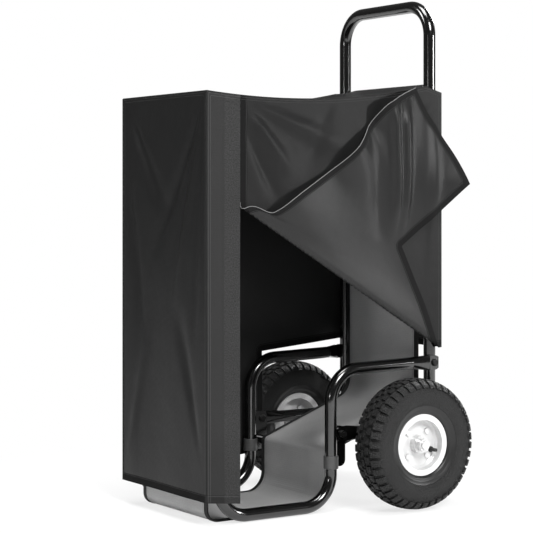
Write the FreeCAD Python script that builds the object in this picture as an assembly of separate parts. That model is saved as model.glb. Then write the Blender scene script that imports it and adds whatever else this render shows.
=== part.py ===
# Firewood log rack: a hand cart of bent steel tube with a canvas log sling, two air-filled wheels
# and a fitted rain cover whose near side flap is peeled open and folded back.
# Units are millimetres. +Z is up, -Y is the front, +Y the handle side, +X the side of the open flap.
# The origin is on the ground, under the centre of the whole object.
import FreeCAD, Part
import math
import os

V = FreeCAD.Vector

# ---------------------------------------------------------------- driving dimensions
COVER_FRONT_TO_AXLE = 440.0   # outer face of the cover's front panel to the axle
FRAME_HALF_WIDTH = 143.5      # centreline of every side tube from the middle of the rack
TUBE_R = 12.0                 # frame tube, outer radius
TUBE_WALL = 1.5               # frame tube, wall
TUBE_BEND = 62.0              # centreline radius of the frame's bends

TYRE_R = 127.0                # wheel over the tread
TYRE_WIDTH = 76.0             # wheel over the sidewalls
WHEEL_TRACK_HALF = 213.0      # middle plane of a wheel from the middle of the rack

UPRIGHT_BEHIND_AXLE = 94.0    # handle legs behind the axle
HANDLE_TOP = 993.0            # centreline of the handle's top bar above the ground
HANDLE_JOINT = 595.0          # height where the handle slides over the rear legs
LOOP_AHEAD_OF_AXLE = 149.0    # rear vertical of a side loop ahead of the axle
LOOP_TOP = 270.0              # centreline of the side loop's top bar at its bend
LOOP_RISE = 5.0               # how much higher that bar is at the handle leg
POST_AHEAD_OF_AXLE = 405.0    # front posts ahead of the axle
POST_TOP = 779.0              # centreline of the front frame's top bar
FOOT_JOINT = 94.0             # height of the joints at both ends of a foot tube

SPIGOT_LENGTH = 34.0          # swaged end inside the next tube
SPIGOT_GAP = 0.1              # slip clearance of a swaged end, on the radius
SLEEVE_R = 14.5               # plastic joint sleeve, outer radius
SLEEVE_HEIGHT = 25.0          # plastic joint sleeve
SLEEVE_GAP = 0.1              # sleeve over tube, on the radius
SLEEVE_EDGE = 1.5             # rounding of its edges

TAB_THICKNESS = 5.0           # flattened tube end
TAB_HALF_HEIGHT = 15.5        # flattened tube end, half its height
TAB_LENGTH = 20.0             # flat stretch of a flattened end
TAB_TAPER = 38.0              # stretch where the round tube becomes flat
TAB_INSET = 1.0               # tab's edges inside the oval that the tube becomes
TAB_OVERLAP = 1.5             # tab inside the end of its taper
STRUT_TIP_GAP = 3.0           # strut's tip behind the side loop's tube
BOLT_R = 4.0                  # frame bolts, shank radius
BOLT_HEAD_R = 7.5             # frame bolts, domed head
BOLT_HEAD_HEIGHT = 4.5
BOLT_DOME = 2.7               # rounding of the domed head
BOLT_TIP = 3.0                # thread beyond the nut
THREAD_GAP = 0.05             # nut round its bolt
NUT_ACROSS = 13.0             # frame nuts, across the flats
NUT_HEIGHT = 6.0
BOLT_HOLE_GAP = 0.3           # bolt in its hole, on the radius

LUG_THICKNESS = 5.0           # welded lug behind a side loop
LUG_BOTTOM = 84.0
LUG_BEHIND_LOOP = 36.0        # rear edge of the lug behind the loop's centreline
LUG_CORNER = 12.0
LUG_SLEEVE_GAP = 0.5          # lug round the joint sleeve

AXLE_R = 8.0
AXLE_END_BEYOND_HUB = 14.0    # threaded end past the bearing, under the lock nut
BRACKET_THICKNESS = 5.0       # plate that carries the axle under a rear leg
BRACKET_HALF_WIDTH = 20.0
BRACKET_BELOW_AXLE = 16.0
BRACKET_CORNER = 11.2
AXLE_FIT_GAP = 0.05           # running clearance of a bearing, on the radius

BAR_R = 10.0                  # rear bar that carries the sling
REAR_BAR_Z = 812.0
MID_BAR_R = 8.0               # bolted bar across the front posts
MID_BAR_Z = 282.0
MID_BAR_END_GAP = 2.0         # its round part short of the posts
MID_TAB_LAP = 8.0             # its flat ends inside its round part
LOWER_BAR_R = 9.0             # bar that the sling turns over behind the side loops
LOWER_BAR_GAP = 0.4           # that bar behind the joint sleeves

SLING_HALF_WIDTH = 120.0
SLING_T = 2.0
SLING_GAP = 0.1               # canvas over a bar
SLING_CLEAR_OF_GROUND = 0.8
SLOPE_ANGLE = 20.7            # slope of the sling's floor behind the side loops, degrees
SLOPE_FRONT_RISE = 16.0       # slope's front end above the foot joints
SLOPE_JOIN = 25.0             # its seam behind the drop
SLOPE_BEND = 40.0             # where the sling's back turns into its slope
DROP_BEND = 40.0              # where its drop turns into its base
BASE_JOIN = 5.0               # seam of the base ahead of that bend
TOE_BEND = 22.0               # where its base turns up the front
TOE_JOIN = 10.0               # seam of the front above that bend
TOE_BEHIND_POST = 3.5         # the front's foot behind the posts' front faces
FRONT_BEND = 200.0            # slack turns of the front behind the bolted bar
MID_BAR_TO_SLING = 0.5        # canvas behind the bolted bar
WRAP_SLACK = 0.01             # a bend's radius under its corner's reach
HEM_FALL = 85.0               # free end of the canvas below a bar

COVER_T = 1.6
COVER_GAP = 0.5               # cover beside the joint sleeves
COVER_BOTTOM = 45.0
STRIP_BOTTOM = 38.0           # rear end of the near strip's hem
CUTOUT_BOTTOM = 77.0          # rear end of the far side's lower hem
COVER_FRONT_TOP = 802.0
COVER_SAG = 793.0             # lowest height of its top panel
COVER_SAG_BEHIND_FRONT = 190.0
COVER_REAR_TOP = 836.0
CUTOUT_FRONT_AHEAD = 110.0    # wheel cut-out's front edge ahead of the axle
CUTOUT_TOP_FRONT = 284.0
CUTOUT_TOP_REAR = 305.0
BACK_BEHIND_LEGS = 5.5        # back panel behind the handle legs, over their bolt heads
STRIP_WIDTH = 73.0            # fixed strip of the near side, behind the front panel
NOTCH_MARGIN = 2.0            # top panel's corner notch round a handle leg
FLAP_OPEN_TOP = 586.0         # height where the flap's front edge comes free
FLAP_LIFT = 3.0               # folded part outside the part that hangs
FLAP_SEAM_GAP = 0.3           # hanging part behind the fixed strip
FOLD_FRONT_BEHIND = 31.0      # crease's front end behind the strip
FOLD_FRONT_DROP = 17.0        # and below the place where the edge comes free
FOLD_REAR_AHEAD = 6.0         # crease's rear end ahead of the back panel
FOLD_REAR_RISE = 2.0
FOLDED_TOP_AHEAD = 10.0       # folded hem corner ahead of the axle
FOLDED_TOP_DROP = 24.0        # and below the cover's rear top
FOLDED_TIP_BEHIND = 10.0      # rearmost folded corner behind the back panel
FOLDED_TIP_RISE = 330.0       # and above the wheel cut-out
FOLDED_NOTCH_RISE = 204.0     # folded cut-out's corner above the axle's end of the cut-out

RIM_FLANGE_R = 59.5
RIM_SEAT_R = 51.0
BEAD_GAP = 0.3                # tyre bead round its seat
RIM_HALF_WIDTH = 27.0
RIM_T = 2.5
DISC_OFFSET = 6.0             # meeting plane of the two rim halves, outside the wheel's middle
DISC_R = 43.0
DISH_DEPTH = 4.0              # from the disc to the seat
BEARING_R = 17.0
BEARING_HALF_LENGTH = 22.0
RIM_BOLT_CIRCLE = 33.0
RIM_BOLT_R = 3.0
RIM_BOLT_HEAD_R = 5.5
RIM_BOLT_HEAD = 4.0
RIM_NUT = 5.0
RIM_HOLE_GAP = 0.1
RIM_BOLTS = 4
RIM_BOLT_START = 45           # degrees
VALVE_R = 3.5
VALVE_LENGTH = 20.0
VALVE_CIRCLE = 36.0
VALVE_ANGLE = -21.0
VALVE_COLLAR = (3.0, 5.5)     # length and radius of its foot
GROOVE_DEPTH = 5.0            # tread grooves round the tyre
GROOVE_WIDTH = 4.0
GROOVES = (-14.0, 0.0, 14.0)  # from the tyre's middle
SHOULDER = (31.0, 118.0)      # tread's edge: from the middle, and its radius
BULGE_R = 89.25               # radius where the sidewalls are widest
BEAD_WIDTH = 8.0
BEAD_ABOVE_FLANGE = 1.0
SIDEWALL_T = 9.0
TREAD_T = 15.0
LOCK_NUT_R = 12.0
LOCK_NUT_HEIGHT = 9.0
WASHER_T = 2.0
WASHER_R = 14.0
SPACER_GAP = 0.15             # spacers, washers and nuts round the axle
SPACER_WALL = 3.0
COLLAR_WALL = 5.0

FAR = 999.0                   # beyond the whole object, for cutting
STEP = 1.0                    # a cutter past the face it cuts

# ---------------------------------------------------------------- derived places
AXLE_Y = (COVER_FRONT_TO_AXLE - TYRE_R) / 2
AXLE_Z = TYRE_R
FRONT_FACE_Y = AXLE_Y - COVER_FRONT_TO_AXLE
LEG_Y = AXLE_Y + UPRIGHT_BEHIND_AXLE
LOOP_Y = AXLE_Y - LOOP_AHEAD_OF_AXLE
POST_Y = AXLE_Y - POST_AHEAD_OF_AXLE
RUN_Z = AXLE_Z + AXLE_R + TUBE_R
BORE_R = TUBE_R - TUBE_WALL
SPIGOT_R = BORE_R - SPIGOT_GAP
TAB_OUT = TUBE_R + TAB_THICKNESS / 2
STRUT_TIP_Y = LOOP_Y + TUBE_R + STRUT_TIP_GAP
STRUT_BOLT_Y = STRUT_TIP_Y + TAB_LENGTH / 2
COVER_IN_X = FRAME_HALF_WIDTH + SLEEVE_R + COVER_GAP
COVER_OUT_X = COVER_IN_X + COVER_T
BACK_IN_Y = LEG_Y + TUBE_R + BACK_BEHIND_LEGS
BACK_OUT_Y = BACK_IN_Y + COVER_T
SLING_MID = SLING_GAP + SLING_T / 2
SLOPE = math.tan(math.radians(SLOPE_ANGLE))
SLING_BACK_Y = LEG_Y - BAR_R - SLING_MID
LOWER_BAR_Y = LOOP_Y + SLEEVE_R + LOWER_BAR_GAP + LOWER_BAR_R
SLING_DROP_Y = LOWER_BAR_Y - LOWER_BAR_R - SLING_MID
SLOPE_FRONT_Z = FOOT_JOINT + SLOPE_FRONT_RISE
SLOPE_REAR_Z = SLOPE_FRONT_Z + (SLING_BACK_Y - SLING_DROP_Y) * SLOPE
SLING_BASE_Z = SLING_CLEAR_OF_GROUND + SLING_T / 2
TOE_TOP_Z = SLING_BASE_Z + TOE_BEND + TOE_JOIN
SLOPE_JOIN_Y = SLING_DROP_Y + SLOPE_JOIN
BASE_JOIN_Y = SLING_DROP_Y - DROP_BEND - BASE_JOIN
SLING_TOE_Y = POST_Y - TUBE_R + TOE_BEHIND_POST
CUTOUT_Y = AXLE_Y - CUTOUT_FRONT_AHEAD
STRIP_REAR_Y = FRONT_FACE_Y + STRIP_WIDTH
HUB_INNER_X = WHEEL_TRACK_HALF - BEARING_HALF_LENGTH
HUB_OUTER_X = WHEEL_TRACK_HALF + BEARING_HALF_LENGTH
LUG_INNER_X = FRAME_HALF_WIDTH - TAB_THICKNESS / 2 - LUG_THICKNESS

os.makedirs("parts", exist_ok=True)


def save(name, shape):
    """Write one piece, given as a solid or as a list of solids that belong together."""
    if isinstance(shape, list):
        shape = Part.makeCompound(shape)
    shape.exportStep("parts/" + name + ".step")


# ---------------------------------------------------------------- general shapes
def rounded_path(points, radii):
    """Wire through the points with a tangent arc of the given radius at each inner one."""
    edges = []
    start = points[0]
    for before, corner, after, radius in zip(points, points[1:], points[2:], radii):
        into = (before - corner).normalize()
        out = (after - corner).normalize()
        half = into.getAngle(out) / 2
        reach = radius / math.tan(half)
        first = corner + into * reach
        last = corner + out * reach
        bisector = (into + out).normalize()
        middle = corner + bisector * (radius / math.sin(half) - radius)
        if (first - start).Length > 1e-6:
            edges.append(Part.LineSegment(start, first).toShape())
        edges.append(Part.Arc(first, middle, last).toShape())
        start = last
    edges.append(Part.LineSegment(start, points[-1]).toShape())
    return Part.Wire(edges)


def swept(profile, path):
    """Solid made by moving a closed wire along a path."""
    shell = path.makePipeShell([profile], True, True, 2)
    return shell if shell.ShapeType == "Solid" else Part.Solid(shell.Shells[0])


def round_rod(path, radius):
    start = path.Edges[0]
    at = start.valueAt(start.FirstParameter)
    along = start.tangentAt(start.FirstParameter)
    return swept(Part.Wire(Part.makeCircle(radius, at, along)), path)


def bent_tube(points, radii, closed_end=None):
    """Frame tube along a path, open at both ends, or with a solid end piece on its last point."""
    path = rounded_path(points, radii)
    outside = round_rod(path, TUBE_R)
    if closed_end:
        outside = outside.fuse(closed_end)
    return outside.cut(round_rod(path, BORE_R))


def rod(start, end, radius):
    return Part.makeCylinder(radius, (end - start).Length, start, end - start)


def box(x0, x1, y0, y1, z0, z1):
    return Part.makeBox(x1 - x0, y1 - y0, z1 - z0, V(x0, y0, z0))


def swaged_end(x, y, z):
    """Narrowed tube end that stands up from z into the bore of the tube above it."""
    foot = z - 2 * TUBE_WALL
    shoulder = Part.makeCylinder(BORE_R + TUBE_WALL / 2, z - foot, V(x, y, foot))
    spigot = Part.makeCylinder(SPIGOT_R, z + SPIGOT_LENGTH - foot, V(x, y, foot))
    inside = Part.makeCylinder(SPIGOT_R - TUBE_WALL, SPIGOT_LENGTH + 9 * TUBE_WALL,
                               V(x, y, foot - TUBE_WALL))
    return shoulder.fuse(spigot).cut(inside)


def round_section(centre, radius):
    """Circle across the Y direction that starts at its top, as an oval section does."""
    circle = Part.makeCircle(radius)
    circle.rotate(V(0, 0, 0), V(1, 1, 1), 240)
    circle.translate(centre)
    return Part.Wire(circle)


def oval_section(centre, half_height, half_thickness):
    """Oval across the Y direction, as a round tube becomes when it is pressed flat."""
    oval = Part.Ellipse(centre + V(0, 0, half_height), centre + V(half_thickness, 0, 0), centre)
    return Part.Wire(oval.toShape())


def flattened_end(round_centre, tab_x, direction):
    """Tube end pressed flat: a taper from the round tube, then a tab with a rounded tip and a bolt hole.

    direction is +1 or -1 along Y. The tab lies at tab_x, at the height of the tube's centre.
    """
    taper_end = V(tab_x, round_centre.y + direction * TAB_TAPER, round_centre.z)
    taper = Part.makeLoft([round_section(round_centre, TUBE_R),
                           oval_section(taper_end, TAB_HALF_HEIGHT, TAB_THICKNESS / 2)], True, True)
    hole_y = taper_end.y + direction * TAB_LENGTH / 2
    low_x = tab_x - TAB_THICKNESS / 2
    tip_r = TAB_HALF_HEIGHT - TAB_INSET
    y0, y1 = sorted((taper_end.y - direction * TAB_OVERLAP, hole_y))
    tab = box(low_x, low_x + TAB_THICKNESS, y0, y1,
              round_centre.z - tip_r, round_centre.z + tip_r)
    tip = Part.makeCylinder(tip_r, TAB_THICKNESS, V(low_x, hole_y, round_centre.z), V(1, 0, 0))
    beyond = direction * TAB_LENGTH / 2
    y0, y1 = sorted((hole_y, hole_y + beyond))
    tip = tip.common(box(low_x, low_x + TAB_THICKNESS, y0, y1,
                         round_centre.z - TAB_HALF_HEIGHT, round_centre.z + TAB_HALF_HEIGHT))
    return taper.fuse(tab).fuse(tip)


def on_side(right_shape, side):
    """The shape as built for the right side, or its mirror image for the left."""
    return right_shape if side > 0 else right_shape.mirror(V(0, 0, 0), V(1, 0, 0))


def bolt_hole(x0, x1, y, z):
    return rod(V(x0, y, z), V(x1, y, z), BOLT_R + BOLT_HOLE_GAP)


def bolt_and_nut(head_at, nut_at):
    """Domed bolt whose head seats at head_at, with a hexagon nut seated at nut_at."""
    along = (nut_at - head_at).normalize()
    shank = rod(head_at, nut_at + along * (NUT_HEIGHT + BOLT_TIP), BOLT_R)
    head = Part.makeCylinder(BOLT_HEAD_R, BOLT_HEAD_HEIGHT, head_at, along * -1)
    rim = [edge for edge in head.Edges if (edge.CenterOfMass - head_at).Length > BOLT_HEAD_HEIGHT / 2
           and edge.Curve.TypeId == "Part::GeomCircle"]
    head = head.makeFillet(BOLT_DOME, rim)
    side = V(0, 0, 1)
    across = along.cross(side)
    reach = NUT_ACROSS / math.sqrt(3)
    corners = []
    for step in range(7):
        angle = math.radians(60 * step)
        corners.append(nut_at + side * (reach * math.cos(angle)) + across * (reach * math.sin(angle)))
    nut = Part.Face(Part.makePolygon(corners)).extrude(along * NUT_HEIGHT)
    hole = rod(nut_at - along * STEP, nut_at + along * (NUT_HEIGHT + STEP), BOLT_R + THREAD_GAP)
    return [shank.fuse(head), nut.cut(hole)]


# ---------------------------------------------------------------- frame
def handle_frame():
    points = []
    for x, z in ((-1, HANDLE_JOINT), (-1, HANDLE_TOP), (1, HANDLE_TOP), (1, HANDLE_JOINT)):
        points.append(V(x * FRAME_HALF_WIDTH, LEG_Y, z))
    shape = bent_tube(points, [TUBE_BEND, TUBE_BEND])
    for side in (-1, 1):
        shape = shape.cut(leg_bolt_hole(side * FRAME_HALF_WIDTH))
    return shape


def leg_bolt_hole(x):
    z = HANDLE_JOINT + SPIGOT_LENGTH / 2
    return rod(V(x, LEG_Y - 2 * TUBE_R, z), V(x, LEG_Y + 2 * TUBE_R, z), BOLT_R + BOLT_HOLE_GAP)


def rear_leg():
    """Right handle leg below the joint, forward over the axle to its flat end at the side loop."""
    x = FRAME_HALF_WIDTH
    strut_start = STRUT_TIP_Y + TAB_LENGTH + TAB_TAPER
    end = V(x, strut_start, RUN_Z)
    shape = bent_tube([V(x, LEG_Y, HANDLE_JOINT), V(x, LEG_Y, RUN_Z), end], [TUBE_BEND],
                      flattened_end(end, x, -1))
    shape = shape.fuse(swaged_end(x, LEG_Y, HANDLE_JOINT))
    z = LOOP_TOP + LOOP_RISE
    shape = shape.cut(bolt_hole(x - 2 * TUBE_R, x + 2 * TUBE_R, LEG_Y, z))
    shape = shape.cut(bolt_hole(x - 2 * TUBE_R, x + 2 * TUBE_R, STRUT_BOLT_Y, RUN_Z))
    return shape.cut(leg_bolt_hole(x)).removeSplitter()


def side_tube():
    """Upper half of the right side loop, from its flat end at the leg to the joint sleeve."""
    x = FRAME_HALF_WIDTH
    taper_y = LEG_Y - TAB_LENGTH / 2 - TAB_TAPER
    rear_z = LOOP_TOP + LOOP_RISE
    end = V(x, taper_y, rear_z)
    shape = bent_tube([V(x, LOOP_Y, FOOT_JOINT), V(x, LOOP_Y, LOOP_TOP), end], [TUBE_BEND],
                      flattened_end(end, x + TAB_OUT, 1))
    return shape.cut(bolt_hole(x - 3 * TUBE_R, x + 3 * TUBE_R, LEG_Y, rear_z)).removeSplitter()


def foot_tube(x):
    """Lower half of a side loop: down from the rear joint, along the ground, up to the front joint."""
    points = [V(x, LOOP_Y, FOOT_JOINT), V(x, LOOP_Y, TUBE_R), V(x, POST_Y, TUBE_R), V(x, POST_Y, FOOT_JOINT)]
    shape = bent_tube(points, [TUBE_BEND, TUBE_BEND])
    return shape.fuse(swaged_end(x, LOOP_Y, FOOT_JOINT)).fuse(swaged_end(x, POST_Y, FOOT_JOINT))


def front_frame():
    points = []
    for x, z in ((-1, FOOT_JOINT), (-1, POST_TOP), (1, POST_TOP), (1, FOOT_JOINT)):
        points.append(V(x * FRAME_HALF_WIDTH, POST_Y, z))
    shape = bent_tube(points, [TUBE_R * 2, TUBE_R * 2])
    for x in (-FRAME_HALF_WIDTH, FRAME_HALF_WIDTH):
        shape = shape.cut(rod(V(x, POST_Y - 2 * TUBE_R, MID_BAR_Z), V(x, POST_Y + 2 * TUBE_R, MID_BAR_Z),
                              BOLT_R + BOLT_HOLE_GAP))
    return shape


def sleeve(x, y):
    bottom = FOOT_JOINT - SLEEVE_HEIGHT / 2
    ring = Part.makeCylinder(SLEEVE_R, SLEEVE_HEIGHT, V(x, y, bottom))
    circles = [edge for edge in ring.Edges if edge.Curve.TypeId == "Part::GeomCircle"]
    ring = ring.makeFillet(SLEEVE_EDGE, circles)
    return ring.cut(Part.makeCylinder(TUBE_R + SLEEVE_GAP, SLEEVE_HEIGHT + 2 * STEP, V(x, y, bottom - STEP)))


def front_mid_bar():
    """Bar across the front of the posts, with its flattened ends bolted to them."""
    face = POST_Y - TUBE_R
    inner = FRAME_HALF_WIDTH - TUBE_R - MID_BAR_END_GAP
    bar = cross_bar(face - MID_BAR_R, MID_BAR_Z, MID_BAR_R, inner)
    for side in (-1, 1):
        x0, x1 = sorted((side * (inner - MID_TAB_LAP), side * (FRAME_HALF_WIDTH + TUBE_R)))
        tab = box(x0, x1, face - TAB_THICKNESS, face, MID_BAR_Z - MID_BAR_R, MID_BAR_Z + MID_BAR_R)
        hole_x = side * FRAME_HALF_WIDTH
        hole = rod(V(hole_x, face - TAB_THICKNESS - STEP, MID_BAR_Z), V(hole_x, face + STEP, MID_BAR_Z),
                   BOLT_R + BOLT_HOLE_GAP)
        bar = bar.fuse(tab).cut(hole)
    return bar


def cross_bar(y, z, radius, half_length):
    bar = rod(V(-half_length, y, z), V(half_length, y, z), radius)
    return bar.cut(rod(V(-half_length - STEP, y, z), V(half_length + STEP, y, z), radius - TUBE_WALL))


def rear_sling_bar():
    bar = cross_bar(LEG_Y, REAR_BAR_Z, BAR_R, FRAME_HALF_WIDTH)
    for side in (-1, 1):
        at = V(side * FRAME_HALF_WIDTH, LEG_Y, REAR_BAR_Z - 2 * BAR_R)
        bar = bar.cut(Part.makeCylinder(TUBE_R, 4 * BAR_R, at))
    return bar


def lower_bar_place():
    """Centre of the bar inside the sling's turn from slope to drop."""
    reach = LOWER_BAR_R + SLING_MID
    z = SLOPE_FRONT_Z + reach * SLOPE - reach / math.cos(math.radians(SLOPE_ANGLE))
    return LOWER_BAR_Y, z


def lower_bar():
    y, z = lower_bar_place()
    return cross_bar(y, z, LOWER_BAR_R, LUG_INNER_X)


def strut_lug(side):
    """Plate welded behind a side loop: the leg's strut bolts to it, and the lower bar is welded to it."""
    x0, x1 = sorted((side * LUG_INNER_X, side * (LUG_INNER_X + LUG_THICKNESS)))
    plate = box(x0, x1, LOOP_Y, LOOP_Y + LUG_BEHIND_LOOP, LUG_BOTTOM, RUN_Z + TAB_HALF_HEIGHT)
    corner = [edge for edge in plate.Edges
              if min(vertex.Point.y for vertex in edge.Vertexes) > LOOP_Y + STEP
              and abs(edge.tangentAt(edge.FirstParameter).x) > 0.9]
    plate = plate.makeFillet(LUG_CORNER, corner)
    centre_x = side * FRAME_HALF_WIDTH
    loop = Part.makeCylinder(SLEEVE_R + LUG_SLEEVE_GAP, FOOT_JOINT + SLEEVE_HEIGHT / 2 + STEP,
                             V(centre_x, LOOP_Y, 0))
    plate = plate.cut(loop).cut(Part.makeCylinder(TUBE_R, FAR, V(centre_x, LOOP_Y, 0)))
    return plate.cut(bolt_hole(x0 - STEP, x1 + STEP, STRUT_BOLT_Y, RUN_Z))


def axle_bracket(side):
    """Plate welded to the inner side of a rear leg, with the hole that holds the axle."""
    face = side * (FRAME_HALF_WIDTH - TUBE_R)
    x0, x1 = sorted((face, face - side * BRACKET_THICKNESS))
    plate = box(x0, x1, AXLE_Y - BRACKET_HALF_WIDTH, AXLE_Y + BRACKET_HALF_WIDTH,
                AXLE_Z - BRACKET_BELOW_AXLE, RUN_Z + TUBE_R / 2)
    lower = [edge for edge in plate.Edges
             if edge.CenterOfMass.z < AXLE_Z - BRACKET_BELOW_AXLE + STEP
             and abs(edge.tangentAt(edge.FirstParameter).x) > 0.9]
    plate = plate.makeFillet(BRACKET_CORNER, lower)
    return plate.cut(rod(V(x0 - STEP, AXLE_Y, AXLE_Z), V(x1 + STEP, AXLE_Y, AXLE_Z), AXLE_R))


def axle():
    end = HUB_OUTER_X + AXLE_END_BEYOND_HUB
    return rod(V(-end, AXLE_Y, AXLE_Z), V(end, AXLE_Y, AXLE_Z), AXLE_R)


def spacer(side):
    """Tube on the axle between the leg's bracket and the wheel's bearing."""
    start = FRAME_HALF_WIDTH - TUBE_R
    end = HUB_INNER_X - AXLE_FIT_GAP
    at = V(side * start, AXLE_Y, AXLE_Z)
    to = V(side * end, AXLE_Y, AXLE_Z)
    ring = rod(at, to, AXLE_R + SPACER_WALL)
    under = box(-FAR, FAR, AXLE_Y - BRACKET_HALF_WIDTH, AXLE_Y + BRACKET_HALF_WIDTH,
                RUN_Z - TUBE_R, RUN_Z + TUBE_R)
    collar = rod(V(side * (FRAME_HALF_WIDTH + TUBE_R), AXLE_Y, AXLE_Z), to, AXLE_R + COLLAR_WALL)
    return ring.cut(under).fuse(collar).cut(rod(at - V(side, 0, 0), to + V(side, 0, 0), AXLE_R + SPACER_GAP))


def lock_nut(side):
    start = side * (HUB_OUTER_X + AXLE_FIT_GAP)
    washer = rod(V(start, AXLE_Y, AXLE_Z), V(start + side * WASHER_T, AXLE_Y, AXLE_Z), WASHER_R)
    nut = rod(V(start + side * WASHER_T, AXLE_Y, AXLE_Z),
              V(start + side * (WASHER_T + LOCK_NUT_HEIGHT), AXLE_Y, AXLE_Z), LOCK_NUT_R)
    hole = rod(V(start - side, AXLE_Y, AXLE_Z), V(side * FAR, AXLE_Y, AXLE_Z), AXLE_R + SPACER_GAP)
    return washer.fuse(nut).cut(hole)


# ---------------------------------------------------------------- sling
def strap(points, radii):
    """Canvas strip of the sling along a path in the YZ plane."""
    path = rounded_path([V(0, y, z) for y, z in points], radii)
    start = path.Edges[0]
    at = start.valueAt(start.FirstParameter)
    along = start.tangentAt(start.FirstParameter)
    thick = along.cross(V(1, 0, 0)).normalize() * (SLING_T / 2)
    wide = V(SLING_HALF_WIDTH, 0, 0)
    corners = [at - wide - thick, at + wide - thick, at + wide + thick, at - wide + thick, at - wide - thick]
    return swept(Part.makePolygon(corners), path)


def over_bar(y, z, radius, side, free_end_z):
    """Points and radii of canvas that hangs free on one side of a bar and runs on down the other."""
    reach = radius + SLING_MID
    near = y - side * reach
    far = y + side * reach
    return [(far, free_end_z), (far, z + reach), (near, z + reach)], [reach - WRAP_SLACK, reach - WRAP_SLACK]


def sling_back():
    points, radii = over_bar(LEG_Y, REAR_BAR_Z, BAR_R, 1, REAR_BAR_Z - HEM_FALL)
    return strap(points + [(SLING_BACK_Y, SLOPE_REAR_Z + 2 * SLOPE_BEND)], radii)


def sling_slope():
    return strap([(SLING_BACK_Y, SLOPE_REAR_Z + 2 * SLOPE_BEND), (SLING_BACK_Y, SLOPE_REAR_Z),
                  (SLOPE_JOIN_Y, SLOPE_FRONT_Z + SLOPE_JOIN * SLOPE)], [SLOPE_BEND])


def sling_drop():
    return strap([(SLOPE_JOIN_Y, SLOPE_FRONT_Z + SLOPE_JOIN * SLOPE), (SLING_DROP_Y, SLOPE_FRONT_Z),
                  (SLING_DROP_Y, SLING_BASE_Z), (BASE_JOIN_Y, SLING_BASE_Z)],
                 [LOWER_BAR_R + SLING_MID, DROP_BEND])


def sling_base():
    return strap([(BASE_JOIN_Y, SLING_BASE_Z), (SLING_TOE_Y, SLING_BASE_Z), (SLING_TOE_Y, TOE_TOP_Z)],
                 [TOE_BEND])


def sling_front():
    behind_bar = (POST_Y - TUBE_R + MID_BAR_TO_SLING + SLING_T / 2, MID_BAR_Z)
    points, radii = over_bar(POST_Y, POST_TOP, TUBE_R, -1, POST_TOP - HEM_FALL)
    main_top = (POST_Y + TUBE_R + SLING_MID, POST_TOP - 2 * TUBE_R)
    return strap(points + [main_top, behind_bar, (SLING_TOE_Y, TOE_TOP_Z)], radii + [FRONT_BEND, FRONT_BEND])


# ---------------------------------------------------------------- cover
def top_points():
    """Side view of the cover's top from front to rear: it hangs between the front frame and the legs."""
    return [V(0, FRONT_FACE_Y, COVER_FRONT_TOP), V(0, FRONT_FACE_Y + COVER_SAG_BEHIND_FRONT, COVER_SAG),
            V(0, BACK_OUT_Y, COVER_REAR_TOP)]


def side_outline(front_y, rear_y, lower):
    """Face in the YZ plane below the cover's top curve, between two Y places, above the lower points."""
    curve = Part.Arc(*top_points()).toShape()
    sheet = curve.extrude(V(0, 0, -FAR))
    window = [V(0, rear_y, lower[0][1]), V(0, rear_y, FAR), V(0, front_y, FAR)]
    window += [V(0, y, z) for y, z in reversed(lower)]
    window.append(window[0])
    return sheet.common(Part.Face(Part.makePolygon(window)))


def side_panel(side, front_y, rear_y, lower):
    face = side_outline(front_y, rear_y, lower)
    x = COVER_IN_X if side > 0 else -COVER_OUT_X
    face.translate(V(x, 0, 0))
    return face.extrude(V(COVER_T, 0, 0)).Solids[0]


def cover_far_side():
    lower = [(BACK_OUT_Y, CUTOUT_TOP_REAR), (CUTOUT_Y, CUTOUT_TOP_FRONT), (CUTOUT_Y, CUTOUT_BOTTOM),
             (FRONT_FACE_Y + COVER_T, COVER_BOTTOM)]
    return side_panel(-1, FRONT_FACE_Y + COVER_T, BACK_OUT_Y, lower)


def cover_near_strip():
    lower = [(STRIP_REAR_Y, STRIP_BOTTOM), (FRONT_FACE_Y + COVER_T, COVER_BOTTOM)]
    return side_panel(1, FRONT_FACE_Y + COVER_T, STRIP_REAR_Y, lower)


def fold_line():
    """Ends of the flap's crease, front one first, as (y, z)."""
    front = STRIP_REAR_Y + FOLD_FRONT_BEHIND, FLAP_OPEN_TOP - FOLD_FRONT_DROP
    return front, (BACK_OUT_Y - FOLD_REAR_AHEAD, CUTOUT_TOP_REAR + FOLD_REAR_RISE)


def cover_flap_hanging():
    front, rear = fold_line()
    seam_y = STRIP_REAR_Y + FLAP_SEAM_GAP
    return side_panel(1, seam_y, BACK_OUT_Y, [(BACK_OUT_Y, rear[1]), rear, front, (seam_y, FLAP_OPEN_TOP)])


def cover_flap_folded():
    """Part of the flap that is turned back outside: its hem corner, its wheel cut-out and its crease."""
    front, rear = fold_line()
    outline = [front, (AXLE_Y - FOLDED_TOP_AHEAD, COVER_REAR_TOP - FOLDED_TOP_DROP),
               (BACK_OUT_Y + FOLDED_TIP_BEHIND, CUTOUT_TOP_REAR + FOLDED_TIP_RISE),
               (AXLE_Y, CUTOUT_TOP_REAR + FOLDED_NOTCH_RISE), rear]
    corners = [V(COVER_OUT_X + FLAP_LIFT, y, z) for y, z in outline]
    panel = Part.Face(Part.makePolygon(corners + [corners[0]])).extrude(V(COVER_T, 0, 0))
    radius = (FLAP_LIFT + 2 * COVER_T) / 2
    start = V(COVER_IN_X + radius, front[0], front[1])
    end = V(COVER_IN_X + radius, rear[0], rear[1])
    away = (end - start).cross(V(1, 0, 0)).normalize() * radius
    crease = rod(start, end, radius).cut(rod(start, end, radius - COVER_T))
    across = V(radius, 0, 0)
    inner, outer = start - across, start + across
    below = [inner, outer, outer + away * 2, inner + away * 2, inner]
    return [crease.common(Part.Face(Part.makePolygon(below)).extrude(end - start)), panel]


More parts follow.
